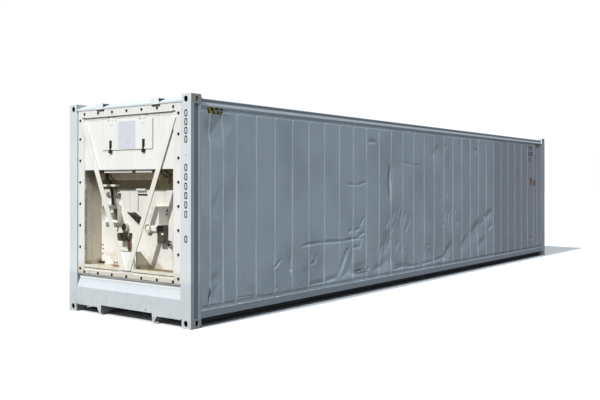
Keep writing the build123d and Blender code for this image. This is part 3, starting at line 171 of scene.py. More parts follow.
class Paint:
    """A material whose colour is built up in layers."""

    def __init__(self, name, colour=None):
        self.material = PAINTS[name] = bpy.data.materials.new(name)
        self.material.use_nodes = True
        self.tree = self.material.node_tree
        self.shader = self.tree.nodes["Principled BSDF"]
        self.place = self.add("ShaderNodeTexCoord", {}).outputs["Object"]
        self.x, self.y, self.z = self.add("ShaderNodeSeparateXYZ", {0: self.place}).outputs
        self.colour = colour

    def add(self, kind, inputs, **settings):
        node = self.tree.nodes.new(kind)
        for key, value in settings.items():
            setattr(node, key, value)
        set_inputs(self.tree, node, inputs)
        return node

    def noise(self, scale, detail=4, rough=0.5, stretch=(1, 1, 1)):
        place = self.add("ShaderNodeVectorMath", {0: self.place, 1: stretch}, operation="MULTIPLY").outputs[0]
        inputs = {"Vector": place, "Scale": scale, "Detail": detail, "Roughness": rough}
        return self.add("ShaderNodeTexNoise", inputs).outputs["Fac"]

    def ramp(self, value, low, high, out_low=0.0, out_high=1.0):
        """A value mapped smoothly from one range to another."""
        inputs = {"Value": value, "From Min": low, "From Max": high, "To Min": out_low, "To Max": out_high}
        return self.add("ShaderNodeMapRange", inputs, interpolation_type="SMOOTHSTEP").outputs["Result"]

    def maths(self, operation, *values):
        return self.add("ShaderNodeMath", dict(enumerate(values)), operation=operation).outputs[0]

    def times(self, a, b):
        return self.maths("MULTIPLY", a, b)

    def between(self, mask, low, high):
        """The low value where the mask is 0 and the high one where it is 1."""
        return self.maths("MULTIPLY_ADD", mask, high - low, low)

    def band(self, place, start, full, still_full, end):
        """1 between two places along an axis, with soft edges."""
        return self.times(self.ramp(place, start, full), self.ramp(place, end, still_full))

    def facing(self, letter, low, high):
        """1 where the surface faces straight along an axis, either way."""
        normal = self.add("ShaderNodeNewGeometry", {}).outputs["Normal"]
        along = self.add("ShaderNodeSeparateXYZ", {0: normal}).outputs[letter]
        return self.ramp(self.maths("ABSOLUTE", along), low, high)

    def clouds(self, scale, low, high, detail=4, rough=0.5, stretch=(1, 1, 1)):
        """Soft patches where the noise passes from low to high."""
        return self.ramp(self.noise(scale, detail, rough, stretch), low, high)

    def rust(self, amount, scale):
        """Scattered rust spots; a larger amount gives more of them."""
        return self.clouds(scale, 0.72 - amount, 0.78 - amount, 8, 0.65)

    def streaks(self, low, high, width=14):
        """Dirt that has run straight down."""
        return self.clouds(1.0, low, high, 5, 0.6, (width, width, 0.9))

    def mix(self, mask, a, b):
        """Colour a where the mask is 0 and colour b where it is 1."""
        node = self.add("ShaderNodeMix", {0: mask, 6: linear(a), 7: linear(b)}, data_type="RGBA")
        return node.outputs[2]

    def layer(self, tint, mask, share=1.0):
        """Lays a tint over the colour so far, by the mask and a share of it."""
        if share != 1.0:
            mask = self.times(mask, share)
        self.colour = self.mix(mask, self.colour, tint)

    def grain(self, scale, detail, strength, distance):
        """Fine unevenness of the surface."""
        inputs = {"Height": self.noise(scale, detail), "Strength": strength, "Distance": distance}
        set_inputs(self.tree, self.shader, {"Normal": self.add("ShaderNodeBump", inputs).outputs["Normal"]})

    def finish(self, roughness, metallic=0.0):
        inputs = {"Base Color": linear(self.colour), "Roughness": roughness, "Metallic": metallic}
        set_inputs(self.tree, self.shader, inputs)


# Main colours, in 0 to 255 steps; small tints are written where they are laid
FRAME_LIGHT = (226, 232, 234)
# Painted shade: darker greys for faces that look along Y, on the frame and on the posts
FRAME_SIDE_SHADE = (194, 194, 190)
POST_SIDE_SHADE = (208, 216, 220)
# Painted shade in the recesses on the posts' outer sides
POST_RECESS_SHADE = (128, 142, 150)
# Painted light: near white in the sill's pocket, lifting the shadow that the flange casts there
SILL_POCKET_LIGHT = (252, 252, 250)
# Painted shade inside the corner castings' openings
CASTING_INSIDE_SHADE = (88, 78, 68)
WALL_LIGHT = (208, 221, 229)
WALL_MIDDLE = (199, 210, 219)
WALL_FAR = (182, 186, 196)
WALL_SHADE = (176, 187, 194)
WALL_PLUM = (170, 174, 186)
# Painted highlight for the lit edges of the wall's grooves
GROOVE_HIGHLIGHT = (226, 234, 240)
PANEL_WHITE = (249, 249, 245)
FLANGE_WHITE = (242, 242, 238)
FLANGE_DIRT = (188, 178, 156)
FLANGE_FOOT = (200, 190, 168)
ARM_DIRT = (230, 225, 208)
RAIL_GREY = (174, 183, 190)
# Painted shade on the rails: bands on the top rail, near black at the bottom rail's foot
RAIL_BAND_SHADE = (150, 158, 164)
RAIL_FOOT_SHADE = (66, 66, 66)
# Colours of the painted shade across the top of the bay's bulkhead
BEAM_CREAM = (250, 234, 202)
BEAM_OLIVE = (172, 164, 124)
UNDER_BEAM = (148, 126, 94)
RUST = (112, 66, 36)
GRIME = (92, 84, 70)

# Where painted parts begin and end, in metres
FAR_PANEL = (2.99, 3.03)
SILL_EDGE = (0.472, 0.476)
RAIL_SHADE_BANDS = ((2.806, 2.812, 2.836, 2.842), (2.72, 2.74, 2.76, 2.766))
RAIL_SHADE_FOOT_EDGE = (0.122, 0.108)
BEAM = (1.828, 1.842, 1.925, 1.945)
# Where the painted shade on the bulkhead begins
BEAM_SHADE_START = (1.69, 1.72)
BEAM_OLIVE_START = (-0.30, -0.36)
DARK_BOX_TOP = (1.246, 1.244)


def wall_paint():
    paint = Paint("wall_paint", WALL_LIGHT)
    paint.layer(WALL_MIDDLE, paint.ramp(paint.x, -4, 2.5))
    paint.layer(WALL_FAR, paint.ramp(paint.x, *FAR_PANEL))
    paint.layer(WALL_SHADE, paint.clouds(1.1, 0.38, 0.66), 0.45)
    plum = paint.clouds(1.7, 0.54, 0.68, 5, stretch=(1, 1, 1.8))
    paint.layer(WALL_PLUM, paint.times(plum, paint.ramp(paint.z, 1.3, 0.3, 0.1, 0.5)))
    paint.layer((168, 174, 178), paint.streaks(0.52, 0.8, 6), 0.22)
    dirt = paint.times(paint.ramp(paint.z, 0.75, 0.2), paint.clouds(5, 0.4, 0.75, 8))
    paint.layer(GRIME, dirt, 0.12)
    paint.layer((228, 232, 234), paint.clouds(3, 0.7, 0.74, 6, stretch=(1, 1, 9)), 0.25)
    paint.grain(60, 3, 0.05, 0.002)
    paint.finish(paint.ramp(paint.noise(2), 0.3, 0.7, 0.42, 0.56))


def groove_highlight():
    """Painted highlight along the lit edge of each groove in the right wall, pale and patchy."""
    paint = Paint("groove_highlight", WALL_LIGHT)
    paint.layer(GROOVE_HIGHLIGHT, paint.clouds(1.3, 0.36, 0.62, 5, stretch=(3, 1, 1)))
    paint.layer(WALL_FAR, paint.ramp(paint.x, *FAR_PANEL), 0.4)
    paint.finish(0.4)


def casting_inside(paint):
    """1 inside the corner castings, 0 on their outer faces."""
    top = paint.ramp(paint.z, HEIGHT - 0.003, HEIGHT - 0.008)
    inside = paint.times(top, paint.ramp(paint.z, 0.003, 0.008))
    for place, face, depth in ((paint.y, SIDE, CASTING_WIDTH), (paint.x, REAR, CASTING_LENGTH)):
        place = paint.maths("ABSOLUTE", place)
        inside = paint.times(inside, paint.ramp(place, face - 0.006, face - 0.014))
        inside = paint.times(inside, paint.ramp(place, face - depth + 0.004, face - depth + 0.008))
    return inside


def frame_paint(part):
    """Pale frame paint with rust and dirt at the bottom, painted shade on sides, hollows and low parts,
    painted light in the sill's pocket.
    """
    paint = Paint(part + "_paint", FRAME_LIGHT)
    # Painted shade on the side faces, darker than the front
    paint.layer(POST_SIDE_SHADE if part == "post" else FRAME_SIDE_SHADE, paint.facing("Y", 0.6, 0.9))
    paint.layer((176, 184, 186), paint.clouds(1.6, 0.35, 0.7, 5), 0.15)
    paint.layer((150, 148, 138), paint.streaks(0.56, 0.8), 0.2)
    low = paint.ramp(paint.z, 0.45, 0.02)
    paint.layer(GRIME, paint.times(low, paint.clouds(7, 0.42, 0.7, 8)), 0.22)
    # Painted shade: a darker grey laid over the frame below about 0.6 m
    paint.layer((186, 192, 195), paint.ramp(paint.z, 0.62, 0.50), 0.45)
    if part == "sill":
        # Painted light in the pocket under the flange
        paint.layer(SILL_POCKET_LIGHT, paint.ramp(paint.z, *SILL_EDGE))
    if part == "casting":
        # Painted shade inside the castings
        paint.layer(CASTING_INSIDE_SHADE, casting_inside(paint))
    if part == "post":
        # Painted shade in the posts' side recesses
        outward = paint.maths("ABSOLUTE", paint.y)
        recess = paint.times(paint.ramp(outward, SIDE - 0.004, SIDE - 0.016), paint.facing("X", 0.8, 0.6))
        paint.layer(POST_RECESS_SHADE, recess, 0.85)
        paint.layer((120, 122, 124), paint.ramp(paint.x, REAR - 0.012, REAR - 0.008))
    rust = paint.maths("MAXIMUM", paint.rust(0, 7), paint.times(low, paint.rust(0.1, 16)))
    paint.layer(RUST, rust)
    paint.grain(45, 4, 0.12, 0.002)
    paint.finish(paint.between(rust, 0.48, 0.85))


def rail_paint():
    """Duller grey of the side rails, with darker bands of painted shade on the top rail and painted shade,
    near black, at the foot.
    """
    paint = Paint("rail_paint", RAIL_GREY)
    # Painted shade on the top rail's upper face and under its lip
    for levels in RAIL_SHADE_BANDS:
        paint.layer(RAIL_BAND_SHADE, paint.band(paint.z, *levels))
    paint.layer(RAIL_FOOT_SHADE, paint.ramp(paint.z, *RAIL_SHADE_FOOT_EDGE))
    paint.layer((150, 156, 160), paint.clouds(6, 0.5, 0.75, 8, stretch=(0.5, 1, 3)), 0.3)
    paint.layer(RUST, paint.rust(-0.02, 9))
    paint.grain(45, 4, 0.12, 0.002)
    paint.finish(0.5)


def machinery_paint(name, base, foot_dirt, foot_colour, foot_top=0.75, foot_low=0.58):
    """White paint with runs of dirt and rust, dirtier towards its foot."""
    paint = Paint(name, base)
    paint.layer((222, 217, 200), paint.clouds(2.4, 0.4, 0.75, 6), 0.2)
    paint.layer((205, 192, 165), paint.streaks(0.56, 0.78, 18), 0.28)
    paint.layer(foot_colour, paint.ramp(paint.z, foot_top, foot_low), foot_dirt)
    run = paint.clouds(1, 0.66, 0.72, 5, 0.6, (30, 30, 2.2))
    paint.layer((160, 116, 74), paint.times(run, paint.ramp(paint.z, 2.1, 0.9)), 0.7)
    rust = paint.rust(0.035, 11)
    paint.layer(RUST, rust)
    paint.grain(35, 4, 0.1, 0.002)
    paint.finish(paint.between(rust, 0.45, 0.85))


def bay_lining():
    """Stained pale sheet at the back of the open bay, with painted shade across its top: dark brown, olive to
    the right, paler in a band like a beam's face, mottled.
    """
    paint = Paint("bay_lining", (241, 239, 233))
    paint.layer((226, 219, 202), paint.clouds(3.5, 0.4, 0.75, 8, 0.6), 0.3)
    paint.layer((182, 168, 140), paint.streaks(0.52, 0.72, 12), 0.28)
    olive = paint.ramp(paint.y, *BEAM_OLIVE_START)
    under, beam = (paint.mix(olive, colour, BEAM_OLIVE) for colour in (UNDER_BEAM, BEAM_CREAM))
    painted_shade = paint.mix(paint.band(paint.z, *BEAM), under, beam)
    mottle = paint.times(paint.clouds(9, 0.45, 0.7, 8, 0.7), 0.4)
    painted_shade = paint.mix(mottle, painted_shade, (98, 82, 54))
    # Painted shade from about 1.7 m up, where the upper panel shades the bulkhead
    paint.layer(painted_shade, paint.ramp(paint.z, *BEAM_SHADE_START), 0.92)
    low = paint.ramp(paint.z, 0.95, 0.66)
    paint.layer((150, 122, 84), paint.times(low, paint.clouds(8, 0.45, 0.65, 8)), 0.5)
    rust = paint.rust(0.03, 10)
    paint.layer((128, 84, 52), rust)
    paint.grain(40, 5, 0.2, 0.002)
    paint.finish(paint.between(rust, 0.6, 0.9))


def cheek_lining():
    """Beige side sheets of the bay, spotted with damp near their edges."""
    paint = Paint("cheek_lining", (222, 215, 197))
    paint.layer((196, 185, 158), paint.clouds(4, 0.35, 0.7, 8, 0.6), 0.4)
    paint.layer((158, 140, 108), paint.streaks(0.52, 0.75, 16), 0.35)
    blotch = paint.clouds(6, 0.36, 0.6, 8, 0.7)
    damp = paint.maths("MAXIMUM", paint.ramp(paint.x, -6.035, -6.07), paint.ramp(paint.z, 1.55, 1.95))
    paint.layer((106, 104, 78), paint.times(damp, blotch), 0.75)
    foot = paint.times(paint.ramp(paint.z, 0.75, 0.68), paint.ramp(blotch, 0, 1, 0.3, 0.8))
    paint.layer((112, 98, 68), foot)
    paint.layer((96, 78, 56), paint.rust(0.07, 14), 0.8)
    paint.grain(40, 5, 0.2, 0.002)
    paint.finish(0.65)


def tray_paint():
    """White tray: clean on its front lip, silted and rusty on its floor."""
    paint = Paint("tray_paint", (232, 228, 212))
    paint.layer((198, 186, 152), paint.clouds(5, 0.4, 0.7, 7), 0.4)
    inside = paint.ramp(paint.x, RING_HIGH.x + 0.008, RING_HIGH.x + 0.02)
    right = paint.ramp(paint.y, 0.05, -0.15, 0.4, 1)
    silt = paint.times(inside, paint.clouds(7, 0.25, 0.5, 8))
    paint.layer((116, 106, 72), paint.times(silt, right))
    paint.layer((118, 60, 38), paint.times(inside, paint.clouds(5.5, 0.58, 0.63, 9, 0.7)))
    paint.grain(50, 6, 0.3, 0.003)
    paint.finish(0.7)


def box_paint():
    """White upper boxes and dark grey lower ones."""
    paint = Paint("box_paint", (232, 230, 222))
    paint.layer((84, 78, 64), paint.ramp(paint.z, *DARK_BOX_TOP))
    paint.layer((140, 126, 104), paint.clouds(14, 0.56, 0.78, 7), 0.35)
    paint.grain(70, 4, 0.15, 0.001)
    paint.finish(0.6)


def dark_steel():
    paint = Paint("dark_steel", (46, 46, 46))
    paint.layer((78, 66, 56), paint.clouds(28, 0.4, 0.65, 6))
    paint.grain(180, 3, 0.2, 0.001)
    paint.finish(0.55, 0.35)


def rubber():
    paint = Paint("rubber", (32, 33, 34))
    paint.layer((84, 80, 74), paint.clouds(12, 0.45, 0.75, 6), 0.5)
    paint.finish(0.75)


def galvanised():
    paint = Paint("galvanised", (150, 154, 156))
    spangle = paint.add("ShaderNodeTexVoronoi", {"Vector": paint.place, "Scale": 60})
    paint.layer((186, 190, 191), paint.ramp(spangle.outputs["Distance"], 0, 0.8))
    paint.layer(RUST, paint.rust(0, 14))
    paint.finish(0.42, 0.7)


def aluminium():
    paint = Paint("aluminium_floor", (170, 172, 174))
    paint.layer((205, 207, 208), paint.clouds(6, 0.35, 0.7, 6, stretch=(0.3, 4, 1)))
    paint.finish(0.38, 0.85)


def flat_finish(name, colour, worn, roughness, scale):
    """A painted or printed surface with small worn patches."""
    paint = Paint(name, colour)
    paint.layer(worn, paint.clouds(scale, 0.55, 0.75, 6), 0.6)
    paint.finish(roughness)


# Flat finishes: colour, worn colour, roughness, scale of the wear
FLAT_FINISHES = {
    # Painted highlight, for the wall's weld beads and the lit edges in its folds
    "edge_highlight": ((236, 241, 243), (190, 198, 203), 0.5, 60),
    "mark_black": ((26, 28, 32), (84, 90, 94), 0.5, 30),
    "lug_paint": ((244, 246, 248), (180, 184, 186), 0.5, 20),
    # Painted shade, for the dark sides of the folds in the wall
    "dent_shade_paint": ((128, 137, 148), (168, 178, 187), 0.5, 6),
    "stripe_yellow": ((198, 180, 48), (150, 140, 90), 0.5, 30),
    "label_grey": ((221, 223, 230), (208, 210, 214), 0.5, 8),
    "label_orange": ((158, 124, 76), (104, 88, 72), 0.5, 14),
    "motor_paint": ((206, 198, 180), (140, 104, 72), 0.5, 22),
    "rust_ochre": ((164, 144, 84), (104, 82, 48), 0.85, 30),
    "rust_orange": ((158, 124, 88), (112, 96, 70), 0.85, 20),
    # Painted shade along the right brace arm's outer edge
    "grey_shade_line": ((176, 168, 150), (132, 122, 104), 0.8, 30),
    # Dark joints, and painted shadow along edges and gaps
    "seam_and_shadow_brown": ((64, 56, 44), (112, 98, 78), 0.8, 30),
    # Dark finishes that also serve as painted shade in the bay
    "grease_and_shade": ((66, 60, 44), (42, 36, 28), 0.8, 30),
    "brown_silt_and_shade": ((132, 108, 84), (92, 70, 50), 0.8, 30),
    "olive_dark": ((112, 108, 86), (86, 80, 60), 0.8, 30),
    "olive_pale": ((170, 164, 132), (140, 130, 100), 0.8, 30),
    "grey_and_shade": ((126, 122, 110), (92, 86, 74), 0.8, 30),
    "grime": ((128, 114, 88), (78, 68, 50), 0.8, 14),
    "grey_line": ((168, 162, 148), (130, 122, 106), 0.7, 30),
    "pipe_brown": ((132, 108, 80), (74, 60, 46), 0.6, 30),
}
for finish_name, finish in FLAT_FINISHES.items():
    flat_finish(finish_name, *finish)
for part in ("frame", "post", "sill", "casting"):
    frame_paint(part)
machinery_paint("machinery_paint", PANEL_WHITE, 0.3, FLANGE_DIRT)
machinery_paint("flange_paint", FLANGE_WHITE, 0.6, FLANGE_FOOT)
machinery_paint("arm_paint", PANEL_WHITE, 0.5, ARM_DIRT, 2.05, 1.8)
for make_paint in (
    wall_paint, groove_highlight, rail_paint, bay_lining, cheek_lining, tray_paint, box_paint,
    dark_steel, rubber, galvanised, aluminium,
):
    make_paint()

# The paint of each CAD node; the frame's own parts that aren't named have plain frame paint
NODE_PAINTS = {
    "wall_paint": "side_wall_left side_wall_right roof door_leaf_left door_leaf_right",
    "post_paint": "rear_posts front_post_right front_post_left",
    "sill_paint": "front_sill",
    "lug_paint": "header_lugs",
    "rail_paint": "top_rails bottom_rails",
    "flange_paint": "machinery_flange",
    "machinery_paint": "upper_panel hatch hatch_straps hinge_leaves brace_foot bay_brackets coil_rails",
    "arm_paint": "brace_arms",
    "bay_lining": "bulkhead bay_ceiling",
    "cheek_lining": "bay_cheeks brace_gusset",
    "tray_paint": "drip_tray",
    "box_paint": "bay_boxes",
    "motor_paint": "motor_stubs",
    "dark_steel": "baffle_plate latch_lever_left latch_lever_right latch_bases latch_keepers",
    "rubber": "hatch_gasket door_gaskets",
    "galvanised": "lock_rods rod_guides door_hinges",
    "aluminium_floor": "tbar_floor",
}
PAINT_OF = {node: paint for paint, nodes in NODE_PAINTS.items() for node in nodes.split()}
for node_name, node_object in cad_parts.items():
    plain = "casting_paint" if node_name.startswith("corner_casting") else "frame_paint"
    material = PAINTS[PAINT_OF.get(node_name, plain)]
    node_object.data.materials.clear()
    node_object.data.materials.append(material)
    for slot in node_object.material_slots:
        slot.material = material


# Dented right wall

GROOVE_HALF = 0.0125
BEVEL = 0.011
RELIEF = 0.0115
BAY_CORNER = 0.022
BAY_FOOT, BAY_HEAD = 0.262, 2.701
FRONT_BAYS = (0.147, 0.243, 0.254)
REAR_BAYS = (0.118, 0.222, 0.233)
BAY_COUNT = 27
# Columns of the mesh inside a bay, all cells of a bay, and how many of them are its lit groove, which takes a
# painted highlight
BAY_COLUMNS = 18
BAY_CELLS = BAY_COLUMNS + 5
LIT_CELLS = 2
# Rows of the mesh below and above the height that most dents stay under
DENTED_TOP = 1.36
LOW_ROWS, HIGH_ROWS = 66, 46
# Rows at the rounded corners of a bay, as distances from its foot or head
CORNER_ROWS, CORNER_END = np.array([0.0, BEVEL, 0.012, 0.02]), 0.03
# Depth of the slow ripples, and the width of the wall's edge that stays as it was
RIPPLE, STILL_EDGE = 0.004, 0.04
BEAD_RADIUS = 0.006
# How far paint stands off the skin, and the least distance in from the outermost face
PAINT_THICK, LEAST_INSET = 0.0006, 0.0001


def bay_edges():
    """Groove positions along the wall, as in the CAD wall."""
    middle = (WALL_HIGH.x - WALL_LOW.x - sum(FRONT_BAYS) - sum(REAR_BAYS)) / BAY_COUNT
    return WALL_LOW.x + np.cumsum([0.0, *FRONT_BAYS, *[middle] * BAY_COUNT, *reversed(REAR_BAYS)])


def smooth_wave(x, z, seed):
    """Slow ripples in thin sheet, between 0 and 1."""
    rng = random.Random(seed)
    total = np.zeros_like(x)
    for _ in range(7):
        angle = rng.uniform(0, math.pi)
        length = rng.uniform(0.35, 1.8)
        phase = rng.uniform(0, 6.28)
        total += np.sin((x * math.cos(angle) + z * math.sin(angle)) * 2 * math.pi / length + phase)
    return 0.5 + total / 14


def crease(x, z, points, width, depth):
    """A pressed-in line through the given points."""
    nearest = np.full_like(x, 1e9)
    for (x0, z0), (x1, z1) in zip(points, points[1:]):
        dx, dz = x1 - x0, z1 - z0
        t = np.clip(((x - x0) * dx + (z - z0) * dz) / (dx * dx + dz * dz), 0, 1)
        nearest = np.minimum(nearest, np.hypot(x - x0 - t * dx, z - z0 - t * dz))
    return depth * np.exp(-(nearest / width) ** 2)


def bowl(x, z, centre_x, centre_z, radius_x, radius_z, depth):
    """A smooth round dent."""
    return depth * np.exp(-((x - centre_x) / radius_x) ** 2 - ((z - centre_z) / radius_z) ** 2)


# The lit side of a scrape, as a share of the width of its shaded side
STEEP_SHARE = 0.45


def gouge(x, z, x0, z0, x1, z1, width, depth, lit=None, end_share=0.3):
    """A scrape that falls in slowly on its shaded side and comes back over another width on its lit side."""
    lit = lit or STEEP_SHARE * width
    dx, dz = x1 - x0, z1 - z0
    length = math.hypot(dx, dz)
    along = ((x - x0) * dx + (z - z0) * dz) / length ** 2
    across = ((x - x0) * dz - (z - z0) * dx) / length
    fall = np.where(across < 0, 1 + across / width, 1 - across / lit)
    ends = np.clip(np.minimum(along, 1 - along) / end_share, 0, 1)
    return depth * np.clip(fall, 0, 1) * ends


def pressed(x, z, outline, apex, depth):
    """Flat facets that fall from an outline to one deepest point."""
    x2, z2 = apex
    total = np.zeros_like(x)
    for (x0, z0), (x1, z1) in zip(outline, outline[1:] + outline[:1]):
        area = (x1 - x0) * (z2 - z0) - (x2 - x0) * (z1 - z0)
        along = ((x - x0) * (z2 - z0) - (x2 - x0) * (z - z0)) / area
        inward = ((x1 - x0) * (z - z0) - (x - x0) * (z1 - z0)) / area
        inside = np.minimum(np.minimum(1 - along - inward, along), inward) >= 0
        total = np.maximum(total, np.where(inside, inward * depth, 0.0))
    return total


# The dents, all in metres: places as x and z, then sizes and depth

# Soft rounded creases: points, width, depth
CREASES = [
    (((-4.8, 0.275), (-5.26, 0.29)), 0.016, 0.006),
    (((0.47, 1.9), (0.5, 1.66)), 0.018, 0.008),
    (((-0.9, 2.154), (-0.6, 2.12), (-0.34, 2.11)), 0.018, 0.007),
    (((-3.9, 0.905), (-3.3, 0.925), (-2.89, 0.915), (-2.68, 0.93), (-2.14, 0.915)), 0.02, -0.004),
]

# Scrapes, each from left to right or from the foot up: start, end; width, depth
GOUGES = [
    (-3.92, 0.88, -3.3, 0.9, 0.05, 0.02), (-3.4, 0.898, -2.8, 0.885, 0.05, 0.022),
    (-2.88, 0.885, -2.14, 0.905, 0.05, 0.018), (-2.76, 1.79, -2.4, 1.745, 0.035, 0.012),
    (-2.46, 1.748, -2.12, 1.8, 0.04, 0.016), (-2.12, 2.475, -1.78, 2.47, 0.06, 0.018),
    (-2.9, 1.3, -2.88, 1.46, 0.03, 0.01), (-2.92, 1.2, -2.9, 1.27, 0.025, 0.012),
    (-4.5, 0.59, -4.335, 0.72, 0.04, 0.022), (-4.5, 0.64, -4.495, 0.9, 0.03, 0.012),
    (-4.12, 0.47, -4.1, 0.77, 0.06, 0.016), (-4.14, 0.56, -4.06, 0.56, 0.04, 0.01),
    (-3.64, 0.64, -3.62, 0.79, 0.035, 0.012), (-3.66, 0.6, -3.52, 0.61, 0.04, 0.016),
    (-3.53, 0.59, -3.49, 0.74, 0.04, 0.018), (-4.47, 0.3, -4.4, 0.36, 0.03, 0.01),
    (-3.75, 0.29, -3.25, 0.3, 0.06, 0.016), (-3.3, 0.3, -2.94, 0.33, 0.07, 0.02),
    (-2.92, 0.33, -2.64, 0.76, 0.09, 0.03), (-2.78, 0.62, -2.62, 0.78, 0.05, 0.018),
    (-2.64, 1.0, -2.5, 1.05, 0.05, 0.018), (-2.48, 1.01, -2.28, 1.06, 0.05, 0.02),
    (-2.3, 1.08, -2.16, 1.26, 0.05, 0.022), (-2.36, 0.92, -2.16, 0.99, 0.05, 0.02),
    (-2.56, 0.76, -2.28, 0.755, 0.05, 0.014), (-2.3, 0.76, -2.26, 0.9, 0.04, 0.014),
    (-2.1, 0.33, -2.02, 0.42, 0.05, 0.014), (-1.98, 0.33, -1.64, 0.39, 0.05, 0.01),
    (-1.7, 0.5, -1.6, 0.8, 0.07, 0.018), (-1.56, 0.76, -1.52, 0.98, 0.04, 0.014),
    (-1.48, 1.0, -1.4, 1.2, 0.05, 0.018), (-1.3, 0.9, -1.24, 1.08, 0.05, 0.018),
    (-1.28, 1.1, -1.2, 1.34, 0.05, 0.018), (-1.1, 1.15, -1.06, 1.4, 0.04, 0.016),
    (-1.02, 0.94, -0.96, 1.36, 0.05, 0.02), (-0.9, 1.02, -0.83, 1.3, 0.05, 0.02),
    (-0.8, 0.9, -0.74, 1.1, 0.05, 0.018), (-0.72, 1.0, -0.66, 1.26, 0.04, 0.016),
    (-1.4, 0.7, -1.3, 0.86, 0.05, 0.014), (-1.16, 0.6, -1.08, 0.8, 0.05, 0.016),
    (-1.0, 0.56, -0.9, 0.72, 0.05, 0.014), (-0.13, 0.4, -0.08, 0.66, 0.05, 0.012),
    (-0.06, 0.62, 0.08, 0.65, 0.04, 0.01), (-0.92, 0.3, -0.3, 0.3, 0.05, 0.014),
    (-0.32, 0.3, 0.2, 0.33, 0.05, 0.016), (0.18, 0.32, 0.62, 0.36, 0.06, 0.018),
    (0.58, 0.33, 0.86, 0.56, 0.08, 0.022), (0.56, 0.96, 0.7, 1.0, 0.05, 0.014),
    (0.7, 0.99, 0.78, 1.33, 0.05, 0.018), (0.82, 0.98, 0.9, 1.28, 0.05, 0.018),
    (0.96, 1.06, 1.02, 1.24, 0.04, 0.014), (1.1, 1.18, 1.16, 1.29, 0.04, 0.014),
    (1.2, 0.95, 1.28, 1.06, 0.04, 0.012), (1.96, 2.49, 2.16, 2.43, 0.06, 0.016),
    (0.66, 2.45, 0.74, 2.53, 0.05, 0.012), (0.33, 1.64, 0.36, 1.9, 0.05, 0.01),
    (0.98, 1.7, 1.01, 2.12, 0.05, 0.01), (0.76, 1.54, 0.8, 1.64, 0.04, 0.01),
    (2.36, 0.9, 2.48, 1.0, 0.06, 0.016), (2.56, 0.96, 2.64, 1.16, 0.06, 0.02),
    (2.7, 1.0, 2.86, 1.2, 0.06, 0.018), (2.72, 0.78, 2.96, 0.9, 0.07, 0.02),
    (5.06, 0.44, 5.34, 0.47, 0.06, 0.018),
]

# Broad folds: start, end; shaded width, depth, lit width, share of the length that runs out at each end
FOLDS = [
    (-5.8, 2.32, -5.46, 2.72, 0.2, 0.034, 0.23, 0.25), (-1.36, 1.43, -1.335, 2.23, 0.12, 0.034, 0.06, 0.5),
    (1.76, 0.7, 2.46, 1.04, 0.15, 0.046, 0.34, 0.5), (-2.62, 0.33, -2.04, 0.4, 0.15, 0.026, 0.03, 0.3),
    (2.46, 1.02, 2.98, 1.2, 0.11, 0.024, 0.14, 0.4), (-5.76, 0.52, -5.56, 0.64, 0.1, 0.014, 0.16, 0.4),
    (-1.3, 0.3, -0.7, 0.34, 0.08, 0.02, 0.04, 0.3), (0.1, 2.25, 0.42, 2.52, 0.06, 0.016, 0.16, 0.4),
    (-1.56, 0.42, -1.42, 0.98, 0.16, 0.034, 0.12, 0.4), (-1.9, 0.3, -1.2, 0.56, 0.12, 0.024, 0.14, 0.4),
    (0.64, 0.33, 0.96, 0.62, 0.11, 0.03, 0.12, 0.4), (1.3, 0.42, 1.76, 0.76, 0.12, 0.03, 0.2, 0.4),
    (0.86, 1.96, 0.9, 2.42, 0.08, 0.018, 0.06, 0.5), (2.02, 0.42, 2.6, 0.64, 0.12, 0.024, 0.16, 0.4),
]

# Smooth round dents: centre; radii, depth
BOWLS = [
    (-4.15, 0.66, 0.12, 0.18, 0.014), (-5.0, 0.9, 0.5, 0.35, 0.01), (-2.45, 1.0, 0.3, 0.22, 0.016),
    (-1.1, 1.0, 0.45, 0.34, 0.02), (-1.5, 0.7, 0.25, 0.2, 0.014), (0.1, 0.5, 0.4, 0.22, 0.014),
    (0.9, 1.1, 0.3, 0.26, 0.014), (2.1, 0.72, 0.25, 0.25, 0.012), (2.75, 0.95, 0.32, 0.28, 0.016),
    (-1.38, 1.8, 0.14, 0.38, 0.012), (4.9, 1.2, 0.6, 0.6, 0.006), (-5.4, 1.55, 0.16, 0.34, 0.012),
    (-3.3, 0.5, 0.3, 0.2, 0.01), (-2.3, 0.45, 0.2, 0.15, 0.014), (0.35, 2.35, 0.22, 0.2, 0.008),
]

# Flat facets: outline, deepest point, depth
PRESSED = [
    (((-2.92, 0.28), (-2.52, 0.34), (-2.48, 0.74), (-2.66, 0.7)), (-2.62, 0.42), 0.024),
    (((-5.74, 0.27), (-5.6, 0.27), (-5.6, 0.52), (-5.7, 0.5)), (-5.71, 0.38), 0.018),
    (((0.5, 0.29), (0.92, 0.31), (0.9, 0.56), (0.7, 0.5)), (0.66, 0.36), 0.018),
    (((-5.75, 1.6), (-5.56, 1.76), (-5.55, 1.3), (-5.72, 1.36)), (-5.7, 1.46), 0.014),
]


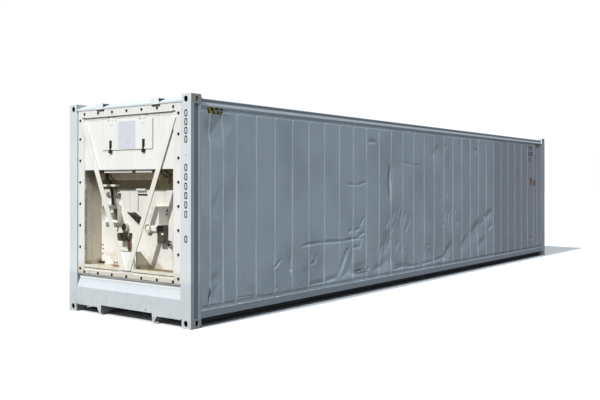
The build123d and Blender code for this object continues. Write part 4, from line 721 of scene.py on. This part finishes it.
def wall_depth(x, z):
    """How far the dented skin stands in from the outermost face."""
    edges = bay_edges()
    raised = np.zeros_like(x)
    for start, end in zip(edges, edges[1:]):
        half_x = (end - start) / 2 - GROOVE_HALF - BAY_CORNER
        half_z = (BAY_HEAD - BAY_FOOT) / 2 - BAY_CORNER
        qx = np.abs(x - (start + end) / 2) - half_x
        qz = np.abs(z - (BAY_FOOT + BAY_HEAD) / 2) - half_z
        round_part = np.hypot(np.maximum(qx, 0), np.maximum(qz, 0))
        outside = round_part + np.minimum(np.maximum(qx, qz), 0) - BAY_CORNER
        raised = np.maximum(raised, np.clip(-outside / BEVEL, 0, 1))
    inner = np.clip(np.minimum(z - WALL_LOW.z, WALL_HIGH.z - z) / STILL_EDGE, 0, 1)
    inner *= np.clip(np.minimum(x - WALL_LOW.x, WALL_HIGH.x - x) / STILL_EDGE, 0, 1)
    dents = RIPPLE * smooth_wave(x, z, seed=4)
    for shape, rows in ((crease, CREASES), (bowl, BOWLS), (gouge, GOUGES + FOLDS), (pressed, PRESSED)):
        for row in rows:
            dents = dents + shape(x, z, *row)
    return np.maximum(RELIEF * (1 - raised) + dents * inner, 0.0)


def on_skin(x, z, proud=PAINT_THICK, least=LEAST_INSET):
    """Points on the dented skin or just in front of it, for arrays of x and z."""
    y = -SIDE + np.maximum(wall_depth(x, z) - proud, least)
    return np.stack((x, y, z), -1)


def wall_lines():
    """Column and row positions of the skin's mesh."""
    columns = []
    edges = bay_edges()
    for start, end in zip(edges, edges[1:]):
        low, high = start + GROOVE_HALF, end - GROOVE_HALF
        columns += [start, low, *np.linspace(low + BEVEL, high - BEVEL, BAY_COLUMNS + 2), high]
    rows = (
        WALL_LOW.z, (WALL_LOW.z + BAY_FOOT) / 2, *(BAY_FOOT + CORNER_ROWS),
        *np.linspace(BAY_FOOT + CORNER_END, DENTED_TOP, LOW_ROWS, endpoint=False),
        *np.linspace(DENTED_TOP, BAY_HEAD - CORNER_END, HIGH_ROWS),
        *(BAY_HEAD - CORNER_ROWS[::-1]), (WALL_HIGH.z + BAY_HEAD) / 2, WALL_HIGH.z,
    )
    return np.array([*columns, edges[-1]]), np.array(rows)


def dented_wall():
    """The right wall's skin with its dents, closed at the back like the CAD wall."""
    columns, rows = wall_lines()
    verts = on_skin(*np.meshgrid(columns, rows), proud=0.0, least=0.0).reshape(-1, 3).tolist()
    grid = np.arange(len(verts)).reshape(len(rows), len(columns))
    corners = (grid[:-1, :-1], grid[:-1, 1:], grid[1:, 1:], grid[1:, :-1])
    faces = np.stack(corners, -1).reshape(-1, 4).tolist()
    in_bay = (rows[:-1] > BAY_FOOT - BEVEL) & (rows[:-1] < BAY_HEAD)
    cells = np.arange(len(columns) - 1)
    lit_groove = (cells % BAY_CELLS < LIT_CELLS) & (cells >= BAY_CELLS)
    rim = np.concatenate((grid[0], grid[1:, -1], grid[-1, -2::-1], grid[-2:0:-1, 0])).tolist()
    back = [len(verts) + k for k in range(len(rim))]
    verts += [(verts[i][0], WALL_HIGH.y, verts[i][2]) for i in rim]
    faces += [(rim[k], rim[k - 1], back[k - 1], back[k]) for k in range(len(rim))]
    mesh = bpy.data.meshes.new("side_wall_dented")
    mesh.from_pydata(verts, [], [*faces, back[::-1]])
    # The lit groove cells take the painted highlight
    for index in np.flatnonzero(np.outer(in_bay, lit_groove)).tolist():
        mesh.polygons[index].material_index = 1
    mesh.validate()
    wall = new_piece(mesh, ["wall_paint", "groove_highlight"], "wall_skin")
    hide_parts("side_wall_right")


def wall_beads(bm):
    """Weld beads where the right wall meets its rails, in pale paint as a painted highlight."""
    rng = random.Random(8)
    y, z = -SIDE + RELIEF, WALL_LOW.z
    x = WALL_LOW.x + 0.02
    while x < WALL_HIGH.x - 0.15:
        length = rng.uniform(0.10, 0.24)
        add_rod(bm, (x, y, z), (x + length, y, z), BEAD_RADIUS, sides=8)
        x += length + rng.uniform(0.004, 0.03)
    y, z = WALL_LOW.y + RELIEF, WALL_HIGH.z
    add_rod(bm, (WALL_LOW.x, y, z), (WALL_HIGH.x, y, z), 0.8 * BEAD_RADIUS, sides=8)


# Fasteners of the machinery flange

BOLT_PITCH, BOLT_ROWS = 0.2975, (0.563, 2.750)
BOLT_COLUMN, BOLT_HEIGHTS = 0.987, [0.605 + 0.3 * k for k in range(7)] + [2.665]


def hex_bolt(bm, x, y, z, turn, radius=0.0135):
    """A hexagon head on a washer, facing the machinery end."""
    add_rod(bm, (x, y, z), (x - 0.003, y, z), radius * 1.45, sides=20)
    made = add_rod(bm, (x - 0.003, y, z), (x - 0.011, y, z), radius, sides=6)
    bmesh.ops.rotate(bm, cent=(x, y, z), matrix=Matrix.Rotation(turn, 3, "X"), verts=made)


def flange_bolts(bm):
    rng = random.Random(11)
    places = [(i * BOLT_PITCH, z) for i in range(-3, 4) for z in BOLT_ROWS]
    places += [(side * BOLT_COLUMN, z) for side in (-1, 1) for z in BOLT_HEIGHTS]
    for y, z in places:
        hex_bolt(bm, RING_FACE, y, z, rng.uniform(0, 1))


# Marks, stripes, scuffs and bare labels

LABEL_HALF, LABEL_LOW, LABEL_HIGH, LABEL_THICK = 0.173, 2.249, 2.612, 0.0012
# Warning stripes at both ends of the wall: start, end, low, high
STRIPES = ((-5.8, -5.52, 2.67, WALL_HIGH.z - 0.008), (5.5, 5.76, 2.66, WALL_HIGH.z - 0.012))
STRIPE_COUNT, STRIPE_WIDTH, STRIPE_LEAN = 3, 0.38, 0.5
# Bare labels near the far end of the right wall: start, end, low, high
WALL_LABELS = ((5.11, 5.23, 1.75, 1.925), (5.35, 5.46, 1.73, 1.87))
# Painted shade in the dark sides of the folds and painted highlights on their lit edges: low edge start and
# end, high edge end and start
DENT_SHADES = (
    ((-1.405, 1.64), (-1.345, 1.52), (-1.34, 2.03), (-1.38, 2.13)),
    ((-1.435, 1.74), (-1.4, 1.64), (-1.385, 2.08), (-1.41, 2.0)),
    ((-2.48, 0.33), (-2.06, 0.345), (-2.12, 0.4), (-2.38, 0.41)),
    ((-5.8, 0.3), (-5.78, 0.28), (-5.74, 0.42), (-5.76, 0.5)),
)
DENT_HIGHLIGHTS = (
    ((-1.335, 1.5), (-1.3, 1.47), (-1.302, 1.76), (-1.328, 1.93)),
    ((-1.382, 2.06), (-1.365, 2.1), (-1.37, 2.2), (-1.38, 2.18)),
)
PATCH_STEPS = 14


def hatch_label(bm):
    x = HATCH_LOW.x
    add_box(bm, (x - LABEL_THICK, -LABEL_HALF, LABEL_LOW), (x, LABEL_HALF, LABEL_HIGH), bevel=0.0005)


def skin_patch(bm, corners, material=0, proud=PAINT_THICK):
    """A thin sheet that follows the dented skin: low edge start and end, then high edge end and start."""
    shares = np.arange(PATCH_STEPS + 1) / PATCH_STEPS
    u, v = np.meshgrid(shares, shares)
    (x0, z0), (x1, z1), (x2, z2), (x3, z3) = corners
    x = (x0 * (1 - u) + x1 * u) * (1 - v) + (x3 * (1 - u) + x2 * u) * v
    z = (z0 * (1 - u) + z1 * u) * (1 - v) + (z3 * (1 - u) + z2 * u) * v
    rows = [[bm.verts.new(point) for point in row] for row in on_skin(x, z, proud)]
    for lower, upper in zip(rows, rows[1:]):
        for i in range(PATCH_STEPS):
            face = bm.faces.new((lower[i], lower[i + 1], upper[i + 1], upper[i]))
            face.material_index = material


def upright(start, end, low, high):
    """The corners of an upright patch."""
    return ((start, low), (end, low), (end, high), (start, high))


def warning_stripes(start, end, low, high):
    """A black patch with slanted yellow bars, painted near the top of the right wall."""
    bm = bmesh.new()
    skin_patch(bm, upright(start, end, low, high))
    pitch = (end - start) / STRIPE_COUNT
    lean = STRIPE_LEAN * pitch
    for i in range(STRIPE_COUNT):
        left = start + pitch * (i + 0.08)
        right = left + STRIPE_WIDTH * pitch
        bar = ((left + lean, low), (min(right + lean, end), low), (right, high), (left, high))
        skin_patch(bm, bar, material=1, proud=2 * PAINT_THICK)
    new_piece(mesh_from(bm, "warning_stripes"), ["mark_black", "stripe_yellow"], "wall_skin")


def skin_patches(name, groups, paints):
    """Patches on the wall's skin, one paint for each group of them."""
    bm = bmesh.new()
    for material, patches in enumerate(groups):
        for corners in patches:
            skin_patch(bm, corners, material)
    new_piece(mesh_from(bm, name), paints, "wall_skin")


# Rows of zeros in place of the numbers

POST_MARK_Y = -1.130
POST_MARKS = [2.655 - 0.107 * k for k in range(4)] + [1.985 - 0.115 * k for k in range(6)] + [1.105]
POST_MARK_SIZE = (0.052, 0.090, 0.0145)
POST_MARK_THICK = 0.0004
POST_DOT, DOT_SIZE = 2.140, 0.012
# Rows on the wall: start, number of zeros, height
WALL_MARKS = ((5.050, 4, 2.640), (5.040, 5, 2.490), (5.060, 2, 2.350))
WALL_MARK_SIZE = (0.046, 0.094, 0.012)
WALL_MARK_PITCH = 0.062
ZERO_SEGMENTS, ZERO_POWER = 20, 0.55


def zero(bm, place, width, height, stroke):
    """A rounded upright zero; place gives the points for offsets across and up."""
    angle = 2 * np.pi * np.arange(ZERO_SEGMENTS) / ZERO_SEGMENTS
    across, up = (np.sign(t) * np.abs(t) ** ZERO_POWER for t in (np.cos(angle), np.sin(angle)))
    outer, inner = (
        [bm.verts.new(point) for point in place((width / 2 - inset) * across, (height / 2 - inset) * up)]
        for inset in (0.0, stroke)
    )
    for k in range(ZERO_SEGMENTS):
        bm.faces.new((outer[k - 1], inner[k - 1], inner[k], outer[k]))


def post_marks(bm):
    """A column of zeros and a dot on the front of the right post."""
    x = FRONT - POST_MARK_THICK
    for z in POST_MARKS:
        zero(bm, lambda a, b: np.stack((np.full_like(a, x), POST_MARK_Y + a, z + b), -1), *POST_MARK_SIZE)
    half = DOT_SIZE / 2
    add_box(bm, (x, POST_MARK_Y - half, POST_DOT - DOT_SIZE), (FRONT, POST_MARK_Y + half, POST_DOT))


def wall_marks(bm):
    """Three short rows of zeros high up at the far end of the right wall."""
    for start, count, z in WALL_MARKS:
        for k in range(count):
            x = start + k * WALL_MARK_PITCH
            zero(bm, lambda a, b: on_skin(x + a, z + b), *WALL_MARK_SIZE)


# Seams and dirt round the machinery panel

SEAM_HEIGHT = 2.692
SEAM_END = 0.905
LOW_SEAM_HEIGHT = 0.6285
LUG_CENTRE = 0.559
ARM_FOOT_SPREAD = 0.088
ARM_EDGE_WIDTH = 0.0015
RING_GAP = 0.004


def seam(bm, face, proud, y0, y1, z0, z1, bevel=0.0):
    """A thin strip standing proud of a face that looks towards the machinery end."""
    add_box(bm, (face - proud, y0, z0), (face, y1, z1), bevel)


def hinge_rust(bm):
    """Rust and old sealant that has crept out round the hatch hinges."""
    rng = random.Random(5)
    low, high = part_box("hinge_leaves")
    for side in (-1, 1):
        centre = side * (high.y - 0.030)
        for _ in range(13):
            y = centre + rng.uniform(-0.085, 0.075)
            z = rng.choice((low.z - 0.004, high.z + 0.003, high.z + 0.010)) + rng.uniform(-0.003, 0.003)
            half = rng.uniform(0.008, 0.024)
            seam(bm, PANEL_SKIN, 0.0012, y - half, y + half, z - 0.004, z + 0.004, bevel=0.0004)


def arm_edge_shade(bm):
    """Painted shade: a thin grey strip along the outer edge of the right brace arm."""
    low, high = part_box("brace_arms")
    foot = -ARM_FOOT_SPREAD
    outline = (
        (low.y, high.z), (low.y - ARM_EDGE_WIDTH, high.z), (foot - ARM_EDGE_WIDTH, low.z), (foot, low.z),
    )
    add_plate(bm, outline, low.x, RING_FACE)


def panel_seams_and_shadows(bm):
    """Dark lines laid on the panel and the flange: sealed joints, and painted shadow in gaps and under edges.
    """
    # Painted shadow and a dark joint along the top edge of the recessed panel
    seam(bm, RING_FACE, 0.0015, -0.885, 0.885, SEAM_HEIGHT - 0.003, SEAM_HEIGHT + 0.003)
    seam(bm, RING_FACE, 0.0010, -0.875, 0.875, SEAM_HEIGHT - 0.024, SEAM_HEIGHT - 0.0225)
    for side in (-1, 1):
        y = side * SEAM_END
        seam(bm, RING_FACE, 0.004, y - 0.03, y + 0.03, SEAM_HEIGHT - 0.006, SEAM_HEIGHT + 0.009, bevel=0.001)
    rng = random.Random(21)
    # Broken dark lines at the opening's lower edge and the flange's foot: dark joints with painted shadow of
    # the tray lip and of the gap under the flange
    rows = ((LOW_SEAM_HEIGHT, -SEAM_END, SEAM_END), (RING_LOW.z + 0.0025, RING_LOW.y, RING_HIGH.y))
    for z, y, high_y in rows:
        while y < high_y - 0.02:
            length = min(rng.uniform(0.06, 0.26), high_y - y)
            half = rng.uniform(0.0012, 0.0034)
            seam(bm, RING_FACE, 0.0012, y, y + length, z - half, z + half)
            y += length + rng.choice((0.0, 0.004, 0.012))
    foot_low, foot_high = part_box("brace_foot")
    # Painted shadow along the top of the brace foot
    seam(bm, foot_low.x, 0.0015, -0.115, 0.125, foot_high.z - 0.007, foot_high.z)
    # Painted shadow under each lug, and painted shade in the gaps beside the flange ring
    for side in (-1, 1):
        y = side * LUG_CENTRE
        seam(bm, LUG_LOW.x + 0.010, 0.010, y - 0.095, y + 0.055, LUG_LOW.z - 0.018, LUG_LOW.z + 0.001)
        low_y, high_y = sorted((side * RING_HIGH.y, side * (RING_HIGH.y + RING_GAP)))
        seam(bm, RING_HIGH.x, RING_HIGH.x - RING_FACE, low_y, high_y, RING_LOW.z, RING_HIGH.z)
    # Painted shadow under and beside the proud hatch
    low, high = HATCH_LOW, HATCH_HIGH
    seam(bm, PANEL_SKIN, 0.002, low.y, high.y, low.z - 0.007, low.z)
    seam(bm, PANEL_SKIN, 0.002, low.y - 0.006, low.y, low.z - 0.006, high.z)
    seam(bm, PANEL_SKIN, 0.002, high.y, high.y + 0.003, low.z, high.z)


# Pipes left in the machinery bay

# Routes as (distance out from the bulkhead, y, distance below the ceiling), radius, paint
HANGING_PIPES = (
    (((0.05, -0.42, 0), (0.06, -0.44, 0.06), (0.1, -0.66, 0.1), (0.1, -0.86, 0.12)), 0.011, 0),
    (((0.09, -0.5, 0), (0.09, -0.52, 0.045), (0.05, -0.7, 0.065), (0.02, -0.8, 0.16)), 0.009, 1),
    (((0.13, -0.58, 0.02), (0.07, -0.64, 0.085), (0.03, -0.74, 0.1), (0, -0.74, 0.1)), 0.008, 2),
    (((0.03, -0.47, 0), (0.03, -0.47, 0.1), (0, -0.47, 0.1)), 0.007, 2),
    (((0.1, -0.56, 0.06), (0.09, -0.64, 0.085), (0.1, -0.7, 0.1)), 0.006, 1),
    (((0.09, -0.5, 0.02), (0.1, -0.6, 0.05), (0.1, -0.72, 0.04)), 0.005, 1),
    (((0.06, 0.7, 0), (0.05, 0.69, 0.1), (0.015, 0.64, 0.19)), 0.01, 2),
    (((0.09, 0.6, 0), (0.06, 0.59, 0.09), (0.02, 0.56, 0.15)), 0.008, 0),
)
# Others on the bulkhead, with the height above the ground as the third number
LOW_PIPES = (
    (((0.012, 0.536, 1.655), (0.012, 0.536, 1.745)), 0.006, 0),
    (((0.01, 0.0865, 1.418), (0.01, 0.0865, 1.625)), 0.0032, 3),
    # Painted shadow: a thick dark hose laid along the left arm's shadow on the bulkhead
    (((0.045, 0.602, 1.73), (0.05, 0.578, 1.624), (0.062, 0.552, 1.492)), 0.017, 2),
    (((0.006, 0.535, 1.204), (0.006, 0.506, 1.167), (0.006, 0.523, 1.128)), 0.006, 2),
)


def pipe_run(bm, points, radius, material):
    """A pipe through the given points with a ball at each bend."""
    for start, end in zip(points, points[1:]):
        add_rod(bm, start, end, radius, sides=12, material=material)
    for point in points[1:-1]:
        place = Matrix.Translation(point)
        ball = bmesh.ops.create_uvsphere(bm, u_segments=12, v_segments=8, radius=radius, matrix=place)
        mark_faces(ball["verts"], material)


def bay_pipes(bm):
    """Cut pipes and cables hanging in the top corners, a few thin ones on the bulkhead, and a thick dark hose
    of painted shadow.
    """
    for points, radius, material in HANGING_PIPES:
        route = [Vector((BULKHEAD_FACE - out, y, BAY_CEILING - down)) for out, y, down in points]
        pipe_run(bm, route, radius, material)
    for points, radius, material in LOW_PIPES:
        pipe_run(bm, [Vector((BULKHEAD_FACE - out, y, z)) for out, y, z in points], radius, material)


# Small fittings left in the machinery bay

BAY_PAINTS = [
    "machinery_paint", "dark_steel", "motor_paint", "grease_and_shade", "brown_silt_and_shade", "olive_dark", "olive_pale",
    "grey_and_shade", "rust_orange", "grime",
]
WHITE, DARK, MOTOR, GREASE_AND_SHADE, BROWN, OLIVE_DARK, OLIVE_PALE, GREY, ORANGE, GRIMY = range(len(BAY_PAINTS))
# Housings and clips on the bulkhead: right, left, low, high, depth, paint
BLOCKS = (
    (0.488, 0.742, 1.495, 1.58, 0.045, WHITE), (-0.08, 0.104, 1.694, 1.724, 0.03, WHITE),
    (-0.305, -0.18, 1.157, 1.22, 0.03, WHITE), (-0.096, 0.096, 1.625, 1.65, 0.004, DARK),
    (0.8, 0.875, 0.672, 0.694, 0.05, DARK), (0.453, 0.536, 1.606, 1.656, 0.04, GREY),
)
# Dark sheets on the bulkhead, stains and torn edges with painted shade among them: outline of (y, z),
# distance out from the bulkhead, paint
STAINS = (
    # Painted shadow of the left brace arm on the bulkhead
    (((0.272, 1.111), (0.204, 1.114), (0.232, 0.989), (0.301, 0.986)), 0.012, GREASE_AND_SHADE),
    (((0.301, 0.978), (0.215, 0.986), (0.222, 0.877), (0.29, 0.872)), 0.01, BROWN),
    # Painted shade inside and below the open bracket
    (((0.528, 1.283), (0.4425, 1.283), (0.4425, 1.441), (0.528, 1.441)), 0.073, OLIVE_DARK),
    (((0.746, 1.446), (0.54, 1.446), (0.583, 1.405), (0.667, 1.31)), 0.0725, OLIVE_PALE),
    # Painted shade on the valve housing under the shelf
    (((0.715, 1.602), (0.66, 1.592), (0.64, 1.63), (0.652, 1.668), (0.7, 1.672), (0.722, 1.64)),
     0.0415, GREY),
    (((0.81, 1.78), (0.7, 1.8), (0.725, 1.87), (0.69, 1.93), (0.8, 1.945)), 0.003, GRIMY),
    (((0.266, 1.391), (0.106, 1.397), (0.0, 1.334), (0.231, 1.366)), 0.031, GREASE_AND_SHADE),
    (((-0.5, 1.79), (-0.552, 1.772), (-0.59, 1.8), (-0.585, 1.842), (-0.545, 1.872), (-0.51, 1.85)),
     0.003, ORANGE),
)
STAIN_THICK = 0.0015
# Silt on the tray, as (x, y)
TRAY_SILT = (
    (-6.048, 0.205), (-5.985, 0.215), (-5.812, 0.33), (-5.808, 0.6), (-5.865, 0.628), (-5.94, 0.47),
    (-6.02, 0.33),
)
# Bars of the clamp and its stud: both ends as (out, y, z), radius, sides, paint
RODS = (
    ((0.07, -0.505, 1.048), (0.08, -0.622, 0.998), 0.015, 16, DARK),
    ((0.06, -0.56, 1.046), (0.07, -0.592, 0.982), 0.018, 16, DARK),
    ((0.0, -0.56, 1.03), (0.07, -0.56, 1.03), 0.01, 16, DARK),
)
LOWER_BOLTS = ((0.842, 0.921), (0.836, 0.867), (0.846, 0.8), (0.594, 0.69), (0.534, 0.692), (-0.164, 1.112))
# Bolts on the right side of the control box: distance out, z
SIDE_BOLTS = ((0.021, 1.433), (0.03, 1.385))
CONTROL_BOX_RIGHT = -0.499
MOTOR_BORE, MOTOR_HUB, MOTOR_DEPTH = 0.0495, 0.030, 0.036


def bay_rod(bm, start, end, radius, sides, material):
    """A rod between two points that are given by their distance out from the bulkhead, y and z."""
    ends = [(BULKHEAD_FACE - out, y, z) for out, y, z in (start, end)]
    add_rod(bm, *ends, radius, sides, material)


def bay_fittings(bm):
    """Housings, clips, bolts, stains, sheets of painted shade and a clamp left on the bulkhead."""
    back = BULKHEAD_FACE
    for right, left, low, high, depth, material in BLOCKS:
        add_box(bm, (back - depth, right, low), (back, left, high), bevel=0.002, material=material)
    for outline, out, material in STAINS:
        add_plate(bm, outline, back - out, back - out + STAIN_THICK, material)
    for rod in RODS:
        bay_rod(bm, *rod)
    add_box(bm, (back - 0.0812, CONTROL_BOX_RIGHT, 1.119), (back - 0.08, -0.455, 1.139), 0.0005, WHITE)
    silt = bm.faces.new([bm.verts.new((x, y, TRAY_TOP + 0.0012)) for x, y in TRAY_SILT])
    silt.material_index = BROWN
    for y, z in LOWER_BOLTS:
        bay_rod(bm, (0.0, y, z), (0.002, y, z), 0.012, 14, DARK)
        bay_rod(bm, (0.002, y, z), (0.009, y, z), 0.008, 6, DARK)
    for out, z in SIDE_BOLTS:
        low = (back - out - 0.009, CONTROL_BOX_RIGHT - 0.005, z - 0.012)
        add_box(bm, low, (back - out + 0.009, CONTROL_BOX_RIGHT, z + 0.012), 0.001, DARK)
    z = (MOTOR_LOW.z + MOTOR_HIGH.z) / 2
    radius = (MOTOR_HIGH.z - MOTOR_LOW.z) / 2
    right, left = MOTOR_LOW.y + radius, MOTOR_HIGH.y - radius
    # A dark plug of painted shade in the left stub's bore
    bay_rod(bm, (MOTOR_DEPTH, left, z), (0.0, left, z), MOTOR_BORE, 32, GREASE_AND_SHADE)
    bay_rod(bm, (MOTOR_DEPTH, right, z), (0.0, right, z), MOTOR_BORE, 32, MOTOR)
    bay_rod(bm, (MOTOR_DEPTH + 0.008, right, z), (MOTOR_DEPTH, right, z), MOTOR_HUB, 24, WHITE)


# Pieces by builder: paints, slot, then the body and smooth shading where they differ
BUILT = (
    (wall_beads, ["edge_highlight"], "wall_skin", "body", True),
    (flange_bolts, ["dark_steel"], "dark_steel"),
    (hatch_label, ["label_grey"], "machinery_white", "hatch"),
    (post_marks, ["mark_black"], "frame_paint"),
    (wall_marks, ["mark_black"], "wall_skin"),
    (hinge_rust, ["rust_ochre"], "rubber"),
    (arm_edge_shade, ["grey_shade_line"], "rubber"),
    (panel_seams_and_shadows, ["seam_and_shadow_brown"], "rubber"),
    (bay_pipes, ["pipe_brown", "motor_paint", "grease_and_shade", "grey_line"], "dark_steel", "body", True),
    (bay_fittings, BAY_PAINTS, "dark_steel"),
)

dented_wall()
for stripe in STRIPES:
    warning_stripes(*stripe)
skin_patches("dent_light_and_shade", (DENT_SHADES, DENT_HIGHLIGHTS), ["dent_shade_paint", "edge_highlight"])
skin_patches("wall_labels", ([upright(*label) for label in WALL_LABELS],), ["label_orange"])
for build, *looks in BUILT:
    bm = bmesh.new()
    build(bm)
    new_piece(mesh_from(bm, build.__name__), *looks)


# Camera, lights and floor

CAMERA_PLACE = (-12.616, -7.914, 1.791)
CAMERA_YAW, CAMERA_PITCH = math.radians(52.43), math.radians(0.277)
CAMERA_LENS, CAMERA_SHIFT = 45.48, -0.03395
SOFT_COLOUR = (0.90, 0.98, 1.06)
# Suns: the way towards each, strength, spread in degrees, colour
SUNS = {
    "sun": ((-1.0, 0.04, 1.03), 3.15, 1.5, (1.0, 0.99, 0.965)),
    "high_sky": ((-0.28, -0.32, 1.0), 1.5, 30, SOFT_COLOUR),
    "front_glow": ((-1.0, -0.30, 0.50), 0.16, 24, SOFT_COLOUR),
}
SKY_COLOUR, SEEN_COLOUR = (0.84, 0.97, 1.12, 1.0), (1.0, 1.0, 1.0, 1.0)
SKY_RIGHT, SKY_LEFT = 0.22, 0.02
FLOOR_BOUNCE, FLOOR_SEEN = 0.12, 0.97


def make_camera():
    data = bpy.data.cameras.new("camera")
    data.lens = CAMERA_LENS
    data.sensor_width = 36.0
    data.shift_y = CAMERA_SHIFT
    data.clip_end = 200.0
    camera = new_object("camera", data)
    camera.location = CAMERA_PLACE
    camera.rotation_euler = (math.pi / 2 + CAMERA_PITCH, 0.0, -CAMERA_YAW)
    bpy.context.scene.camera = camera


def make_sun(name, towards, strength, degrees, colour):
    data = bpy.data.lights.new(name, "SUN")
    data.energy = strength
    data.angle = math.radians(degrees)
    data.color = colour
    new_object(name, data).rotation_euler = Vector(towards).to_track_quat("Z", "Y").to_euler()


def make_world():
    """A sky that is brighter over the right side, and plain white where the camera looks past the part."""
    world = bpy.data.worlds.new("studio")
    bpy.context.scene.world = world
    world.use_nodes = True
    tree = world.node_tree
    light = tree.nodes["Background"]
    place, split, fall, seen, path, mix = (tree.nodes.new("ShaderNode" + kind) for kind in (
        "TexCoord", "SeparateXYZ", "MapRange", "Background", "LightPath", "MixShader",
    ))
    set_inputs(tree, split, {0: place.outputs["Generated"]})
    levels = {"From Min": -1.0, "From Max": 1.0, "To Min": SKY_RIGHT, "To Max": SKY_LEFT}
    set_inputs(tree, fall, {"Value": split.outputs["Y"], **levels})
    set_inputs(tree, light, {"Color": SKY_COLOUR, "Strength": fall.outputs["Result"]})
    set_inputs(tree, seen, {"Color": SEEN_COLOUR, "Strength": 1.0})
    set_inputs(tree, mix, {0: path.outputs["Is Camera Ray"], 1: light.outputs[0], 2: seen.outputs[0]})
    set_inputs(tree, tree.nodes["World Output"], {"Surface": mix.outputs[0]})


def make_floor():
    bm = bmesh.new()
    bmesh.ops.create_grid(bm, x_segments=1, y_segments=1, size=120.0)
    floor = new_object("floor", mesh_from(bm, "floor"))
    paint = Paint("floor")
    seen = paint.add("ShaderNodeLightPath", {}).outputs["Is Camera Ray"]
    paint.colour = paint.between(seen, FLOOR_BOUNCE, FLOOR_SEEN)
    paint.finish(0.9)
    floor.data.materials.append(paint.material)


make_camera()
for sun_name, sun in SUNS.items():
    make_sun(sun_name, *sun)
make_world()
make_floor()

bpy.context.scene.view_settings.view_transform = "Standard"
